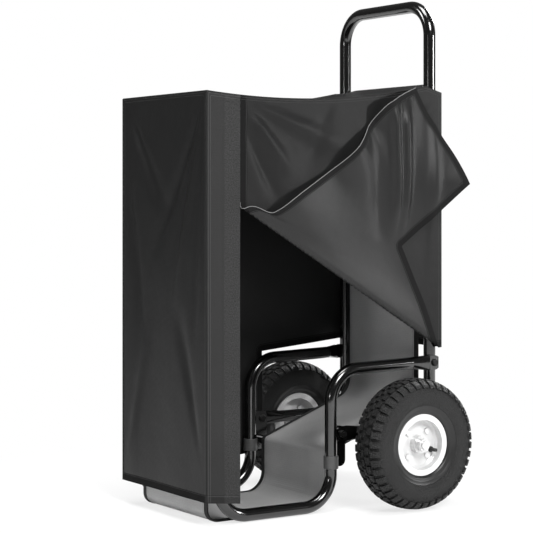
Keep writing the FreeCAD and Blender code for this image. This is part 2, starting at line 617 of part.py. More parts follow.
def cover_front():
    return box(-COVER_OUT_X, COVER_OUT_X, FRONT_FACE_Y, FRONT_FACE_Y + COVER_T, COVER_BOTTOM, COVER_FRONT_TOP)


def cover_back():
    return box(-COVER_IN_X, COVER_IN_X, BACK_IN_Y, BACK_OUT_Y,
               CUTOUT_TOP_REAR, COVER_REAR_TOP - 2 * COVER_T)


def cover_top():
    """Top panel that follows the hanging curve, notched at its rear corners for the handle legs."""
    outer = top_points()
    inner = [point - V(0, 0, COVER_T) for point in outer]
    front_end = Part.LineSegment(outer[0], inner[0])
    rear_end = Part.LineSegment(outer[-1], inner[-1])
    face = Part.Face(Part.Wire([curve.toShape() for curve in
                                (Part.Arc(*outer), rear_end, Part.Arc(*inner), front_end)]))
    face.translate(V(-COVER_IN_X, 0, 0))
    panel = face.extrude(V(2 * COVER_IN_X, 0, 0))
    reach = TUBE_R + NOTCH_MARGIN
    for side in (-1, 1):
        x0, x1 = sorted((side * (FRAME_HALF_WIDTH - reach), side * FAR))
        panel = panel.cut(box(x0, x1, LEG_Y - reach, FAR, 0, FAR))
    return panel.cut(box(-FAR, FAR, -FAR, FRONT_FACE_Y + COVER_T, 0, FAR))


# ---------------------------------------------------------------- wheels
def revolved(profile, side):
    """Turn a closed (offset from the wheel's middle, radius) outline about the axle."""
    points = [V(side * (WHEEL_TRACK_HALF + offset), AXLE_Y, AXLE_Z + radius) for offset, radius in profile]
    face = Part.Face(Part.makePolygon(points + [points[0]]))
    return face.revolve(V(0, AXLE_Y, AXLE_Z), V(1, 0, 0), 360)


def tyre(side):
    """Hollow tyre: beads on the rim seats, bulging sidewalls and a crowned tread with grooves round it."""
    half = TYRE_WIDTH / 2
    x = side * WHEEL_TRACK_HALF

    def at(offset, radius):
        return V(x + side * offset, AXLE_Y, AXLE_Z + radius)

    bead = RIM_HALF_WIDTH - RIM_T
    lip_r = RIM_FLANGE_R + BEAD_ABOVE_FLANGE
    inner_r = TYRE_R - TREAD_T
    out, out_r = SHOULDER
    outline = [
        Part.LineSegment(at(BEAD_WIDTH - bead, RIM_SEAT_R), at(-bead, RIM_SEAT_R)),
        Part.LineSegment(at(-bead, RIM_SEAT_R), at(-bead, lip_r)),
        Part.Arc(at(-bead, lip_r), at(-half, BULGE_R), at(-out, out_r)),
        Part.Arc(at(-out, out_r), at(0, TYRE_R), at(out, out_r)),
        Part.Arc(at(out, out_r), at(half, BULGE_R), at(bead, lip_r)),
        Part.LineSegment(at(bead, lip_r), at(bead, RIM_SEAT_R)),
        Part.LineSegment(at(bead, RIM_SEAT_R), at(bead - BEAD_WIDTH, RIM_SEAT_R)),
        Part.Arc(at(bead - BEAD_WIDTH, RIM_SEAT_R), at(half - SIDEWALL_T, BULGE_R), at(0, inner_r)),
        Part.Arc(at(0, inner_r), at(SIDEWALL_T - half, BULGE_R), at(BEAD_WIDTH - bead, RIM_SEAT_R)),
    ]
    face = Part.Face(Part.Wire([curve.toShape() for curve in outline]))
    shape = face.revolve(V(0, AXLE_Y, AXLE_Z), V(1, 0, 0), 360)
    for middle in GROOVES:
        near, far = middle - GROOVE_WIDTH / 2, middle + GROOVE_WIDTH / 2
        floor, above = TYRE_R - GROOVE_DEPTH, TYRE_R + GROOVE_DEPTH
        shape = shape.cut(revolved([(near, floor), (far, floor), (far, above), (near, above)], side))
    return shape


def rim_bolt_angles():
    return [math.radians(RIM_BOLT_START + 360 * step / RIM_BOLTS) for step in range(RIM_BOLTS)]


def rim_half(side, outward):
    """Pressed steel half: a flat disc at the meeting plane, a dished wall and a flange at the bead."""
    near = DISC_OFFSET
    far = near + outward * RIM_T
    edge = outward * RIM_HALF_WIDTH
    lip = edge - outward * RIM_T
    seat = RIM_SEAT_R - BEAD_GAP
    profile = [(near, BEARING_R), (near, DISC_R + RIM_T), (near + outward * DISH_DEPTH, seat), (lip, seat),
               (lip, RIM_FLANGE_R), (edge, RIM_FLANGE_R), (edge, seat - RIM_T),
               (near + outward * (DISH_DEPTH + RIM_T), seat - RIM_T), (far, DISC_R), (far, BEARING_R)]
    shape = revolved(profile, side)
    for angle in rim_bolt_angles():
        y = AXLE_Y + RIM_BOLT_CIRCLE * math.cos(angle)
        z = AXLE_Z + RIM_BOLT_CIRCLE * math.sin(angle)
        shape = shape.cut(rod(V(0, y, z), V(side * FAR, y, z), RIM_BOLT_R + RIM_HOLE_GAP))
    if outward > 0:
        y, z = valve_place()
        shape = shape.cut(rod(V(0, y, z), V(side * FAR, y, z), VALVE_R + RIM_HOLE_GAP))
    return shape


def valve_place():
    angle = math.radians(VALVE_ANGLE)
    return AXLE_Y + VALVE_CIRCLE * math.cos(angle), AXLE_Z + VALVE_CIRCLE * math.sin(angle)


def rim_bolts(side):
    face = WHEEL_TRACK_HALF + DISC_OFFSET + RIM_T
    back = face - 2 * RIM_T
    pieces = []
    for angle in rim_bolt_angles():
        y = AXLE_Y + RIM_BOLT_CIRCLE * math.cos(angle)
        z = AXLE_Z + RIM_BOLT_CIRCLE * math.sin(angle)
        shank = rod(V(side * (back - RIM_NUT), y, z), V(side * face, y, z), RIM_BOLT_R)
        head = rod(V(side * face, y, z), V(side * (face + RIM_BOLT_HEAD), y, z), RIM_BOLT_HEAD_R)
        nut = rod(V(side * (back - RIM_NUT), y, z), V(side * back, y, z), RIM_BOLT_HEAD_R)
        pieces.append(shank.fuse(head).fuse(nut))
    return pieces


def bearing(side):
    """Hub tube with its ball bearings, running on the axle."""
    start = V(side * HUB_INNER_X, AXLE_Y, AXLE_Z)
    end = V(side * HUB_OUTER_X, AXLE_Y, AXLE_Z)
    step = V(side, 0, 0)
    return rod(start, end, BEARING_R).cut(rod(start - step, end + step, AXLE_R + AXLE_FIT_GAP))


def valve_stem(side):
    y, z = valve_place()
    base = WHEEL_TRACK_HALF + DISC_OFFSET
    stem = rod(V(side * base, y, z), V(side * (base + VALVE_LENGTH), y, z), VALVE_R)
    length, radius = VALVE_COLLAR
    collar = rod(V(side * (base + RIM_T), y, z), V(side * (base + RIM_T + length), y, z), radius)
    return stem.fuse(collar)


# ---------------------------------------------------------------- build
SIDES = (("left", -1), ("right", 1))

save("handle_frame", handle_frame())
save("front_frame", front_frame())
save("front_mid_bar", front_mid_bar())
save("rear_sling_bar", rear_sling_bar())
save("lower_sling_bar", lower_bar())
save("axle", axle())
for label, side in SIDES:
    x = side * FRAME_HALF_WIDTH
    save(label + "_rear_leg", on_side(rear_leg(), side))
    save(label + "_side_tube", on_side(side_tube(), side))
    save(label + "_foot_tube", foot_tube(x))
    save(label + "_rear_sleeve", sleeve(x, LOOP_Y))
    save(label + "_front_sleeve", sleeve(x, POST_Y))
    save(label + "_strut_lug", strut_lug(side))
    save(label + "_axle_bracket", axle_bracket(side))
    save(label + "_axle_spacer", spacer(side))
    save(label + "_lock_nut", lock_nut(side))
    tab_z = LOOP_TOP + LOOP_RISE
    save(label + "_tab_bolt", bolt_and_nut(V(x + side * (TUBE_R + TAB_THICKNESS), LEG_Y, tab_z),
                                           V(x - side * TUBE_R, LEG_Y, tab_z)))
    save(label + "_strut_bolt", bolt_and_nut(V(side * LUG_INNER_X, STRUT_BOLT_Y, RUN_Z),
                                             V(x + side * TAB_THICKNESS / 2, STRUT_BOLT_Y, RUN_Z)))
    joint_z = HANDLE_JOINT + SPIGOT_LENGTH / 2
    save(label + "_handle_bolt", bolt_and_nut(V(x, LEG_Y + TUBE_R, joint_z), V(x, LEG_Y - TUBE_R, joint_z)))
    save(label + "_post_bolt", bolt_and_nut(V(x, POST_Y - TUBE_R - TAB_THICKNESS, MID_BAR_Z),
                                            V(x, POST_Y + TUBE_R, MID_BAR_Z)))
    save(label + "_tyre", tyre(side))
    save(label + "_rim_outer", rim_half(side, 1))
    save(label + "_rim_inner", rim_half(side, -1))
    save(label + "_bearing", bearing(side))
    save(label + "_rim_bolts", rim_bolts(side))
    save(label + "_valve_stem", valve_stem(side))

save("sling_back", sling_back())
save("sling_slope", sling_slope())
save("sling_drop", sling_drop())
save("sling_base", sling_base())
save("sling_front", sling_front())
save("cover_front", cover_front())
save("cover_top", cover_top())
save("cover_back", cover_back())
save("cover_far_side", cover_far_side())
save("cover_near_strip", cover_near_strip())
save("cover_flap_hanging", cover_flap_hanging())
save("cover_flap_folded", cover_flap_folded())
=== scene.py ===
"""Looks of the firewood log rack: tread, canvas sling, rain cover, finishes and the studio."""
import math

import bpy
import numpy as np
from bpy.props import FloatProperty, IntProperty, PointerProperty
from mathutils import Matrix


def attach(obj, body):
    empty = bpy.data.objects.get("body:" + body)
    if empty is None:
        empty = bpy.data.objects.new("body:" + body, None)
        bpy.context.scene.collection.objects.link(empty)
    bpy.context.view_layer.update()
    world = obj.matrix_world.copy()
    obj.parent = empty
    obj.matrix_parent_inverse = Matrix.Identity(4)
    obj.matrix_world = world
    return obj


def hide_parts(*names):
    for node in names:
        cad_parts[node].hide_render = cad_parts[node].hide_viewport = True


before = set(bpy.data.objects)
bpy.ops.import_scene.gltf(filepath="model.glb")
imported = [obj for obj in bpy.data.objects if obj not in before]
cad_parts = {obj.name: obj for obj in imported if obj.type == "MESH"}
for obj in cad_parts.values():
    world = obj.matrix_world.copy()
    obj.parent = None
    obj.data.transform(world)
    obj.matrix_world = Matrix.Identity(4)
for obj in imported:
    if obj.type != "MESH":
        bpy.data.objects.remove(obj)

bl_info = {
    "name": "Firewood log rack",
    "version": (1, 0, 0),
    "blender": (4, 5, 0),
    "location": "3D View > Sidebar > Log rack",
    "description": "Tread, canvas, rain cover, finishes and studio of the log rack",
    "category": "Object",
}

MM = 0.001
SIDES = (("left", -1), ("right", 1))

# Places of the frame that the soft pieces follow, in millimetres
AXLE_Y, AXLE_Z, TRACK = 156.5, 127.0, 213.0
FRONT_Y, BACK_Y, SIDE_X = -282.7, 268.8, 159.3
STRIP_REAR_Y = -210.5
CUTOUT_Y = 46.5
LEG_X, LEG_Y = 143.5, 250.5
FRONT_BAR_Y = -248.5

# The cover's cut: hem heights at the front corner, behind the strip and at the wheel cut-out
HEM_FRONT, HEM_STRIP, HEM_CUT = 45.0, 38.0, 77.0
CUT_FRONT_Z, CUT_REAR_Z = 284.0, 305.0
BACK_HALF, BACK_TOP = 158.0, 831.4
BACK_OUTER_Y = 269.6
TOP_ARC = ((-283.5, 801.2), (-93.5, 792.2), (BACK_OUTER_Y, 835.2))
TOP_FRONT_Z = TOP_ARC[0][1]
BAND_Y = -246.5
FLAP_FRONT_Y = -210.2
CREASE_RADIUS = 4.5

SLING_PATH = (
    (261.6, 727.0, 0.0), (261.6, 823.1, 11.09), (239.4, 823.1, 11.09), (239.4, 192.4, 40.0),
    (21.3, 110.0, 10.1), (21.3, 1.8, 40.0), (-257.0, 1.8, 22.0), (-259.5, 282.0, 200.0),
    (-235.4, 755.0, 200.0), (-235.4, 792.1, 13.09), (-261.6, 792.1, 13.09), (-261.6, 694.0, 0.0),
)

# Half of the tyre's section from its bead to the middle of its tread: (from the wheel's middle, radius)
TYRE_SECTION = (
    (24.5, 51.0), (24.5, 60.3), (27.5, 60.8), (30.0, 62.6), (31.4, 66.0), (31.2, 69.0), (32.2, 70.6),
    (34.6, 76.0), (36.9, 84.0), (37.6, 90.0), (37.2, 97.0), (36.0, 104.0), (34.4, 109.5), (32.0, 113.8),
    (27.0, 117.9), (20.0, 120.8), (17.0, 121.6), (6.5, 122.9), (3.5, 123.1),
)
TYRE_INSIDE = ((14.0, 51.0), (29.0, 88.0), (20.0, 106.0), (0.0, 112.0))


def grey(level):
    """Linear value of an sRGB grey level from 0 to 255."""
    value = level / 255
    return value / 12.92 if value <= 0.04045 else ((value + 0.055) / 1.055) ** 2.4


class Graph:
    """Short way to build one material's nodes."""

    def __init__(self, name, roughness, metallic=0.0, coat=0.0, sheen=0.0, specular=0.5):
        self.material = bpy.data.materials.new(name)
        self.material.use_nodes = True
        self.tree = self.material.node_tree
        self.shader = self.tree.nodes["Principled BSDF"]
        self.shader.inputs["Roughness"].default_value = roughness
        self.shader.inputs["Metallic"].default_value = metallic
        self.shader.inputs["Coat Weight"].default_value = coat
        self.shader.inputs["Coat Roughness"].default_value = 0.06
        self.shader.inputs["Sheen Weight"].default_value = sheen
        self.shader.inputs["Sheen Roughness"].default_value = 0.5
        self.shader.inputs["Specular IOR Level"].default_value = specular

    def node(self, kind, inputs=(), **settings):
        made = self.tree.nodes.new(kind)
        for key, value in settings.items():
            setattr(made, key, value)
        for key, value in dict(inputs).items():
            self.feed(value, made.inputs[key])
        return made

    def feed(self, value, socket):
        if isinstance(value, bpy.types.NodeSocket):
            self.tree.links.new(value, socket)
        else:
            socket.default_value = value

    def math(self, operation, a, b=0.0, c=0.0):
        made = self.node("ShaderNodeMath", {0: a, 1: b, 2: c}, operation=operation)
        return made.outputs[0]

    def noise(self, vector, scale, detail=4.0, roughness=0.6):
        made = self.node("ShaderNodeTexNoise",
                         {"Vector": vector, "Scale": scale, "Detail": detail, "Roughness": roughness})
        return made.outputs["Fac"]

    def spread(self, value, low, high):
        """The value from 0.3 to 0.7 turned into low to high."""
        made = self.node("ShaderNodeMapRange", {"Value": value, "From Min": 0.3, "From Max": 0.7,
                                                "To Min": low, "To Max": high})
        return made.outputs["Result"]

    def mix(self, factor, a, b):
        made = self.node("ShaderNodeMix", data_type="FLOAT")
        self.feed(factor, made.inputs[0])
        self.feed(a, made.inputs[2])
        self.feed(b, made.inputs[3])
        return made.outputs[0]

    def paint(self, level):
        """Grey from one value, straight to the shader's colour."""
        made = self.node("ShaderNodeCombineColor", {"Red": level, "Green": level, "Blue": level})
        self.feed(made.outputs[0], self.shader.inputs["Base Color"])

    def bump(self, height, strength, distance):
        made = self.node("ShaderNodeBump", {"Height": height, "Strength": strength, "Distance": distance})
        self.feed(made.outputs["Normal"], self.shader.inputs["Normal"])

    def place(self, output="Object"):
        return self.node("ShaderNodeTexCoord").outputs[output]


def finish_material(name, level, roughness, metallic=0.0, coat=0.0, grain=600.0, depth=0.0002, wear=0.12,
                    **more):
    """Paint, steel, plastic or rubber with uneven tone and a fine grain."""
    g = Graph(name, roughness, metallic, coat, **more)
    place = g.place()
    tone = g.spread(g.noise(place, 18.0), 1 - wear, 1 + wear)
    g.paint(g.math("MULTIPLY", tone, grey(level)))
    g.feed(g.spread(g.noise(place, 45.0), roughness * 0.85, roughness * 1.15), g.shader.inputs["Roughness"])
    g.bump(g.noise(place, grain, 3.0), 0.5, depth)
    return g.material


def sleeve_material():
    g = Graph("sleeve_plastic", 0.5)
    place = g.place()
    ribs = g.node("ShaderNodeTexWave", {"Vector": place, "Scale": 55.0, "Distortion": 0.2},
                  wave_type="BANDS", bands_direction="Z").outputs["Fac"]
    g.paint(g.math("MULTIPLY", g.spread(g.noise(place, 60.0), 0.85, 1.15), grey(62)))
    g.bump(g.math("ADD", g.math("MULTIPLY", ribs, 0.7), g.noise(place, 900.0)), 0.35, 0.0004)
    return g.material


def tyre_material():
    """Rubber with a fine knurl from the tread down the sidewall, and a smooth ring beside the rim."""
    g = Graph("tyre", 0.5, specular=0.35)
    place = g.place()
    apart = g.node("ShaderNodeSeparateXYZ", {0: place})
    y = g.math("SUBTRACT", apart.outputs[1], AXLE_Y * MM)
    z = g.math("SUBTRACT", apart.outputs[2], AXLE_Z * MM)
    radius = g.math("SQRT", g.math("ADD", g.math("MULTIPLY", y, y), g.math("MULTIPLY", z, z)))
    turn = g.math("ARCTAN2", z, y)
    knurl = g.math("MULTIPLY", g.math("SINE", g.math("ADD", g.math("MULTIPLY", turn, 150.0),
                                                     g.math("MULTIPLY", radius, 1500.0))),
                   g.math("SINE", g.math("SUBTRACT", g.math("MULTIPLY", turn, 150.0),
                                         g.math("MULTIPLY", radius, 1500.0))))
    rough = g.math("GREATER_THAN", radius, 0.0765)
    ring = g.math("LESS_THAN", g.math("ABSOLUTE", g.math("SUBTRACT", radius, 0.0785)), 0.0012)
    g.paint(g.math("MULTIPLY", g.spread(g.noise(place, 30.0), 0.75, 1.25), grey(22)))
    g.feed(g.mix(rough, 0.38, 0.55), g.shader.inputs["Roughness"])
    height = g.math("MULTIPLY", rough, g.math("ADD", g.math("MULTIPLY", knurl, 0.0005),
                                              g.math("MULTIPLY", g.noise(place, 330.0), 0.0032)))
    g.bump(g.math("ADD", height, g.math("MULTIPLY", ring, 0.0012)), 1.0, 1.0)
    return g.material


def between(g, value, low, high):
    """1 where the value lies from low to high."""
    return g.math("MULTIPLY", g.math("GREATER_THAN", value, low), g.math("LESS_THAN", value, high))


def cloth_material(name, level, roughness, weave=1.1, hem_level=None, stitch_level=None, fuzz=0.0, sheen=0.0,
                   crumple=0.0012, specular=0.35):
    """Woven cloth. The mesh's "hem" attribute is the distance in millimetres to a turned hem, and "seam"
    the distance to a sewn seam: hems are darker and double, and both have lines of stitches."""
    g = Graph(name, roughness, sheen=sheen, specular=specular)
    uv = g.place("UV")
    hem = g.node("ShaderNodeAttribute", attribute_name="hem").outputs["Fac"]
    seam = g.node("ShaderNodeAttribute", attribute_name="seam").outputs["Fac"]
    scale = 1000.0 / weave / 10
    warp = g.node("ShaderNodeTexWave", {"Vector": uv, "Scale": scale, "Distortion": 0.4},
                  wave_type="BANDS", bands_direction="X").outputs["Fac"]
    weft = g.node("ShaderNodeTexWave", {"Vector": uv, "Scale": scale, "Distortion": 0.4},
                  wave_type="BANDS", bands_direction="Y").outputs["Fac"]
    weave_height = g.math("MULTIPLY", g.math("ADD", warp, weft), 0.00008)
    speck = g.noise(uv, 420.0, 2.0)
    tone = g.spread(g.noise(uv, 9.0, 5.0), 0.92, 1.08)
    tone = g.math("MULTIPLY", tone, g.spread(speck, 1 - 0.06 - fuzz, 1 + 0.06 + fuzz))
    base = g.math("MULTIPLY", tone, grey(level))
    in_hem = g.math("LESS_THAN", hem, 15.0)
    if hem_level is not None:
        base = g.mix(in_hem, base, g.math("MULTIPLY", tone, grey(hem_level)))
    lines = g.math("ADD", between(g, hem, 12.4, 13.4), between(g, seam, 3.0, 3.9))
    lines = g.math("ADD", lines, between(g, seam, 7.4, 8.2))
    if stitch_level is not None:
        base = g.mix(g.math("MINIMUM", g.math("MULTIPLY", lines, 0.6), 1.0), base, grey(stitch_level))
    g.paint(base)
    g.feed(g.mix(in_hem, roughness, 0.85), g.shader.inputs["Roughness"])
    wrinkle = g.math("MULTIPLY", g.noise(uv, 14.0, 5.0, 0.55), crumple)
    height = g.math("ADD", weave_height, wrinkle)
    height = g.math("ADD", height, g.math("MULTIPLY", speck, 0.0002 * fuzz * 10))
    height = g.math("ADD", height, g.math("MULTIPLY", in_hem, 0.0006))
    height = g.math("SUBTRACT", height, g.math("MULTIPLY", lines, 0.0005))
    g.bump(height, 1.0, 1.0)
    return g.material


_made = {}


def look(key):
    """Each material, made once, by name."""
    if key not in _made:
        _made[key] = LOOKS[key]()
    return _made[key]


LOOKS = {
    "black_tube": lambda: finish_material("black_tube", 5, 0.16, coat=0.6, grain=350.0, depth=0.00002,
                                          wear=0.1),
    "dark_steel": lambda: finish_material("dark_steel", 22, 0.4, 0.6, grain=900.0, depth=0.0001),
    "zinc_steel": lambda: finish_material("zinc_steel", 205, 0.35, 0.7, grain=900.0, depth=0.0001),
    "sleeve_plastic": sleeve_material,
    "tyre": tyre_material,
    "white_rim": lambda: finish_material("white_rim", 198, 0.32, coat=0.3, grain=260.0, depth=0.0001,
                                         wear=0.03),
    "valve_rubber": lambda: finish_material("valve_rubber", 22, 0.55, grain=700.0),
    "canvas": lambda: cloth_material("canvas", 162, 0.6, 1.3, 128, 50, fuzz=0.05, crumple=0.0004),
    "binding": lambda: cloth_material("binding", 26, 0.7, 1.5),
    "cover_outer": lambda: cloth_material("cover_outer", 25, 0.4, 0.7, 14, 62, specular=0.12),
    "cover_inner": lambda: cloth_material("cover_inner", 30, 0.32, 0.7, 11, 55, crumple=0.0008, specular=0.2),
    "cover_strip": lambda: cloth_material("cover_strip", 38, 0.45, 0.9, 32, 78, specular=0.1),
    "hook_band": lambda: cloth_material("hook_band", 45, 0.8, 1.8, 40, 84, fuzz=0.35, specular=0.1),
    "seam_piping": lambda: cloth_material("seam_piping", 14, 0.6, 1.0),
    # Light grey cord along the flap's free edge: a painted highlight, the bright rim where the folded edge
    # catches the light
    "edge_highlight_cord": lambda: cloth_material("edge_highlight_cord", 105, 0.4, 1.0),
}

NODE_LOOKS = (
    (("handle_frame", "front_frame", "front_mid_bar", "rear_sling_bar", "lower_sling_bar", "rear_leg",
      "side_tube", "foot_tube", "strut_lug", "axle_bracket"), "black_tube"),
    (("axle_spacer", "tab_bolt", "strut_bolt", "handle_bolt", "post_bolt"), "dark_steel"),
    (("axle", "lock_nut", "bearing"), "zinc_steel"),
    (("sleeve",), "sleeve_plastic"),
    (("rim_outer", "rim_inner", "rim_bolts"), "white_rim"),
    (("valve_stem",), "valve_rubber"),
)


# ---------------------------------------------------------------- meshes
def clear_selection():
    if bpy.context.mode != "OBJECT":
        bpy.ops.object.mode_set(mode="OBJECT")
    bpy.ops.object.select_all(action="DESELECT")


def activate(obj):
    clear_selection()
    obj.select_set(True)
    bpy.context.view_layer.objects.active = obj


def smooth(obj, degrees):
    activate(obj)
    bpy.ops.object.shade_smooth_by_angle(angle=math.radians(degrees))


def cloth_object(name, flat_u, flat_v, points, keep, materials, thickness, inward=False, marks=None,
                 tone=None):
    """Thin cloth from a grid of points in millimetres.

    flat_u and flat_v are the places in the flat cut, keep says which cells there are, and inward turns the
    cells over. The first material is the outer side and the second the inner. Returns the object and its
    flat area in square metres."""
    rows, columns = flat_u.shape
    index = np.arange(rows * columns).reshape(rows, columns)
    cells = np.stack([index[:-1, :-1], index[1:, :-1], index[1:, 1:], index[:-1, 1:]], axis=-1)[keep]
    if inward:
        cells = cells[:, ::-1]
    used = np.unique(cells)
    place = np.zeros(rows * columns, int)
    place[used] = np.arange(len(used))
    cells = place[cells]
    u = flat_u.ravel()[used] * MM
    v = flat_v.ravel()[used] * MM
    mesh = bpy.data.meshes.new(name)
    mesh.from_pydata((points.reshape(-1, 3)[used] * MM).tolist(), [], cells.tolist())
    layer = mesh.uv_layers.new(name="UVMap")
    corners = np.zeros(len(mesh.loops), int)
    mesh.loops.foreach_get("vertex_index", corners)
    layer.data.foreach_set("uv", np.stack([u[corners], v[corners]], axis=1).ravel())
    far = np.full(rows * columns, 999.0)
    for mark in ("hem", "seam"):
        values = (marks or {}).get(mark, far).ravel()[used]
        mesh.attributes.new(mark, "FLOAT", "POINT").data.foreach_set("value", values)
    for material in materials:
        mesh.materials.append(look(material))
    if tone is not None:
        mesh.polygons.foreach_set("material_index", tone[keep].astype(int))
    obj = bpy.data.objects.new(name, mesh)
    bpy.context.scene.collection.objects.link(obj)
    activate(obj)
    shell = obj.modifiers.new("thickness", "SOLIDIFY")
    shell.thickness = thickness * MM
    shell.offset = 0.0
    shell.material_offset = 1 if tone is None and len(materials) > 1 else 0
    bpy.ops.object.modifier_apply(modifier=shell.name)
    smooth(obj, 50)
    a, b, c, d = (np.stack([u[cells[:, k]], v[cells[:, k]]], axis=1) for k in range(4))
    crossed = (c - a)[:, 0] * (d - b)[:, 1] - (c - a)[:, 1] * (d - b)[:, 0]
    return obj, float(np.abs(crossed).sum() / 2)


def cord_object(name, path, radius, material, sides=8):
    """Thin round piping along points in millimetres, closed at both ends."""
    path = np.array(path, float)
    ahead = np.gradient(path, axis=0)
    ahead /= np.linalg.norm(ahead, axis=1)[:, None]
    guide = np.array([1.0, 0.0, 0.0]) if abs(ahead[:, 0]).max() < 0.9 else np.array([0.0, 1.0, 0.0])
    across = np.cross(ahead, guide)
    across /= np.linalg.norm(across, axis=1)[:, None]
    other = np.cross(ahead, across)
    turns = np.linspace(0, 2 * math.pi, sides, endpoint=False)
    ring = path[:, None] + radius * (across[:, None] * np.cos(turns)[None, :, None]
                                     + other[:, None] * np.sin(turns)[None, :, None])
    verts = (ring.reshape(-1, 3) * MM).tolist()
    faces = []
    for i in range(len(path) - 1):
        for j in range(sides):
            k = (j + 1) % sides
            faces.append((i * sides + j, (i + 1) * sides + j, (i + 1) * sides + k, i * sides + k))
    faces.append(tuple(range(sides)))
    faces.append(tuple(reversed(range(len(verts) - sides, len(verts)))))
    mesh = bpy.data.meshes.new(name)
    mesh.from_pydata(verts, [], faces)
    mesh.materials.append(look(material))
    obj = bpy.data.objects.new(name, mesh)
    bpy.context.scene.collection.objects.link(obj)
    activate(obj)
    bpy.ops.object.mode_set(mode="EDIT")
    bpy.ops.mesh.select_all(action="SELECT")
    bpy.ops.mesh.normals_make_consistent(inside=False)
    bpy.ops.object.mode_set(mode="OBJECT")
    smooth(obj, 50)
    return obj


def ripple(a, b, size, phase):
    """Gentle unevenness of hanging cloth, within about plus and minus size."""
    total = 0.0
    for k, (fa, fb, share) in enumerate(((0.011, 0.004, 0.45), (0.019, -0.009, 0.3), (0.006, 0.014, 0.35),
                                         (0.034, 0.011, 0.15))):
        total = total + share * np.sin(fa * a + fb * b + phase * (k + 1.7) + k)
    return size * total


def drape(a, b, lines):
    """Soft folds along lines: each is (from, to, height, width), and it fades in and out along its length."""
    total = np.zeros_like(a)
    for start, end, height, width in lines:
        start, end = np.array(start, float), np.array(end, float)
        reach = np.linalg.norm(end - start)
        along = (end - start) / reach
        t = ((a - start[0]) * along[0] + (b - start[1]) * along[1]) / reach
        off = -(a - start[0]) * along[1] + (b - start[1]) * along[0]
        spread = width * (0.35 + 0.9 * np.clip(t, 0, 1))
        total = total + height * np.exp(-(off / spread) ** 2) * np.exp(-((t - 0.45) / 0.42) ** 4)
    return total


def top_z(y):
    """Height of the cover's top at a place from front to back: the arc through its three heights."""
    (y1, z1), (y2, z2), (y3, z3) = TOP_ARC
    a = np.array([[y1 ** 2, y1, 1], [y2 ** 2, y2, 1], [y3 ** 2, y3, 1]], float)
    p, q, r = np.linalg.solve(a, np.array([z1, z2, z3]))
    return p * y * y + q * y + r


def side_top(y):
    """The side panels' top edge, which drops at the rear corner beside the handle leg."""
    return top_z(y) - 0.5 * np.maximum(0, y - 230)


def side_grid(front, rear, low_front, low_cut, step):
    """Flat cut of a side panel: places along and up, and which cells lie outside the wheel cut-out.

    low_front gives the hem's height ahead of the cut-out, low_cut the cut-out's top edge."""
    if front < CUTOUT_Y < rear:
        along = np.concatenate([np.linspace(front, CUTOUT_Y, int((CUTOUT_Y - front) / step) + 2),
                                np.linspace(CUTOUT_Y, rear, int((rear - CUTOUT_Y) / step) + 2)[1:]])
    else:
        along = np.linspace(front, rear, int((rear - front) / step) + 2)
    hem = low_front(along)
    cut = low_cut(along)
    lower = int(240 / step)
    upper = int(520 / step)
    s = np.linspace(0, 1, lower + 1)[None, :]
    t = np.linspace(0, 1, upper + 1)[None, 1:]
    v = np.concatenate([hem[:, None] * (1 - s) + cut[:, None] * s,
                        cut[:, None] * (1 - t) + side_top(along)[:, None] * t], axis=1)
    u = np.repeat(along[:, None], v.shape[1], axis=1)
    keep = np.ones((len(along) - 1, v.shape[1] - 1), bool)
    middle = (along[:-1] + along[1:]) / 2
    keep[middle > CUTOUT_Y, :lower] = False
    return u, v, keep


def to_segment(u, v, a, b):
    """Distance from each place to the line between a and b."""
    a, b = np.array(a, float), np.array(b, float)
    d = b - a
    t = np.clip(((u - a[0]) * d[0] + (v - a[1]) * d[1]) / (d @ d), 0, 1)
    return np.hypot(u - a[0] - t * d[0], v - a[1] - t * d[1])


def declare(obj, u, v, keep, with_pieces=()):
    rows = keep.any(axis=1)
    columns = keep.any(axis=0)
    lines = np.concatenate([rows, [False]]) | np.concatenate([[False], rows])
    ups = np.concatenate([columns, [False]]) | np.concatenate([[False], columns])
    u, v = u[lines][:, ups], v[lines][:, ups]
    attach(obj, "frame")
    for piece in with_pieces:
        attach(piece, "frame")


# ---------------------------------------------------------------- settings
class RackSettings(bpy.types.PropertyGroup):
    tread_steps: IntProperty(name="Tread steps", description="Steps round the tyre, three to each block",
                             default=126, min=24)
    tread_height: FloatProperty(name="Tread height", description="Height of the tread blocks",
                                default=0.0038, unit="LENGTH")
    cloth_step: FloatProperty(name="Cloth mesh size", description="Size of the cloth's cells",
                              default=0.006, unit="LENGTH")
    cloth_thickness: FloatProperty(name="Cover thickness", description="Thickness of the coated cloth",
                                   default=0.0008, unit="LENGTH")
    canvas_thickness: FloatProperty(name="Canvas thickness", description="Thickness of the sling's canvas",
                                    default=0.0016, unit="LENGTH")
    sling_width: FloatProperty(name="Sling width", description="Width of the canvas over its bindings",
                               default=0.240, unit="LENGTH")
    binding_width: FloatProperty(name="Binding width", description="Width of the tape along the canvas",
                                 default=0.010, unit="LENGTH")


def settings():
    return bpy.context.scene.log_rack


# ---------------------------------------------------------------- operators
class RACK_OT_finishes(bpy.types.Operator):
    """Give every shown piece of the frame its paint, steel, plastic or rubber."""
    bl_idname = "rack.finishes"
    bl_label = "Frame finishes"

    def execute(self, context):
        for name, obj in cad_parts.items():
            for endings, key in NODE_LOOKS:
                if name.endswith(endings):
                    obj.data.materials.clear()
                    obj.data.materials.append(look(key))
                    break
        return {"FINISHED"}


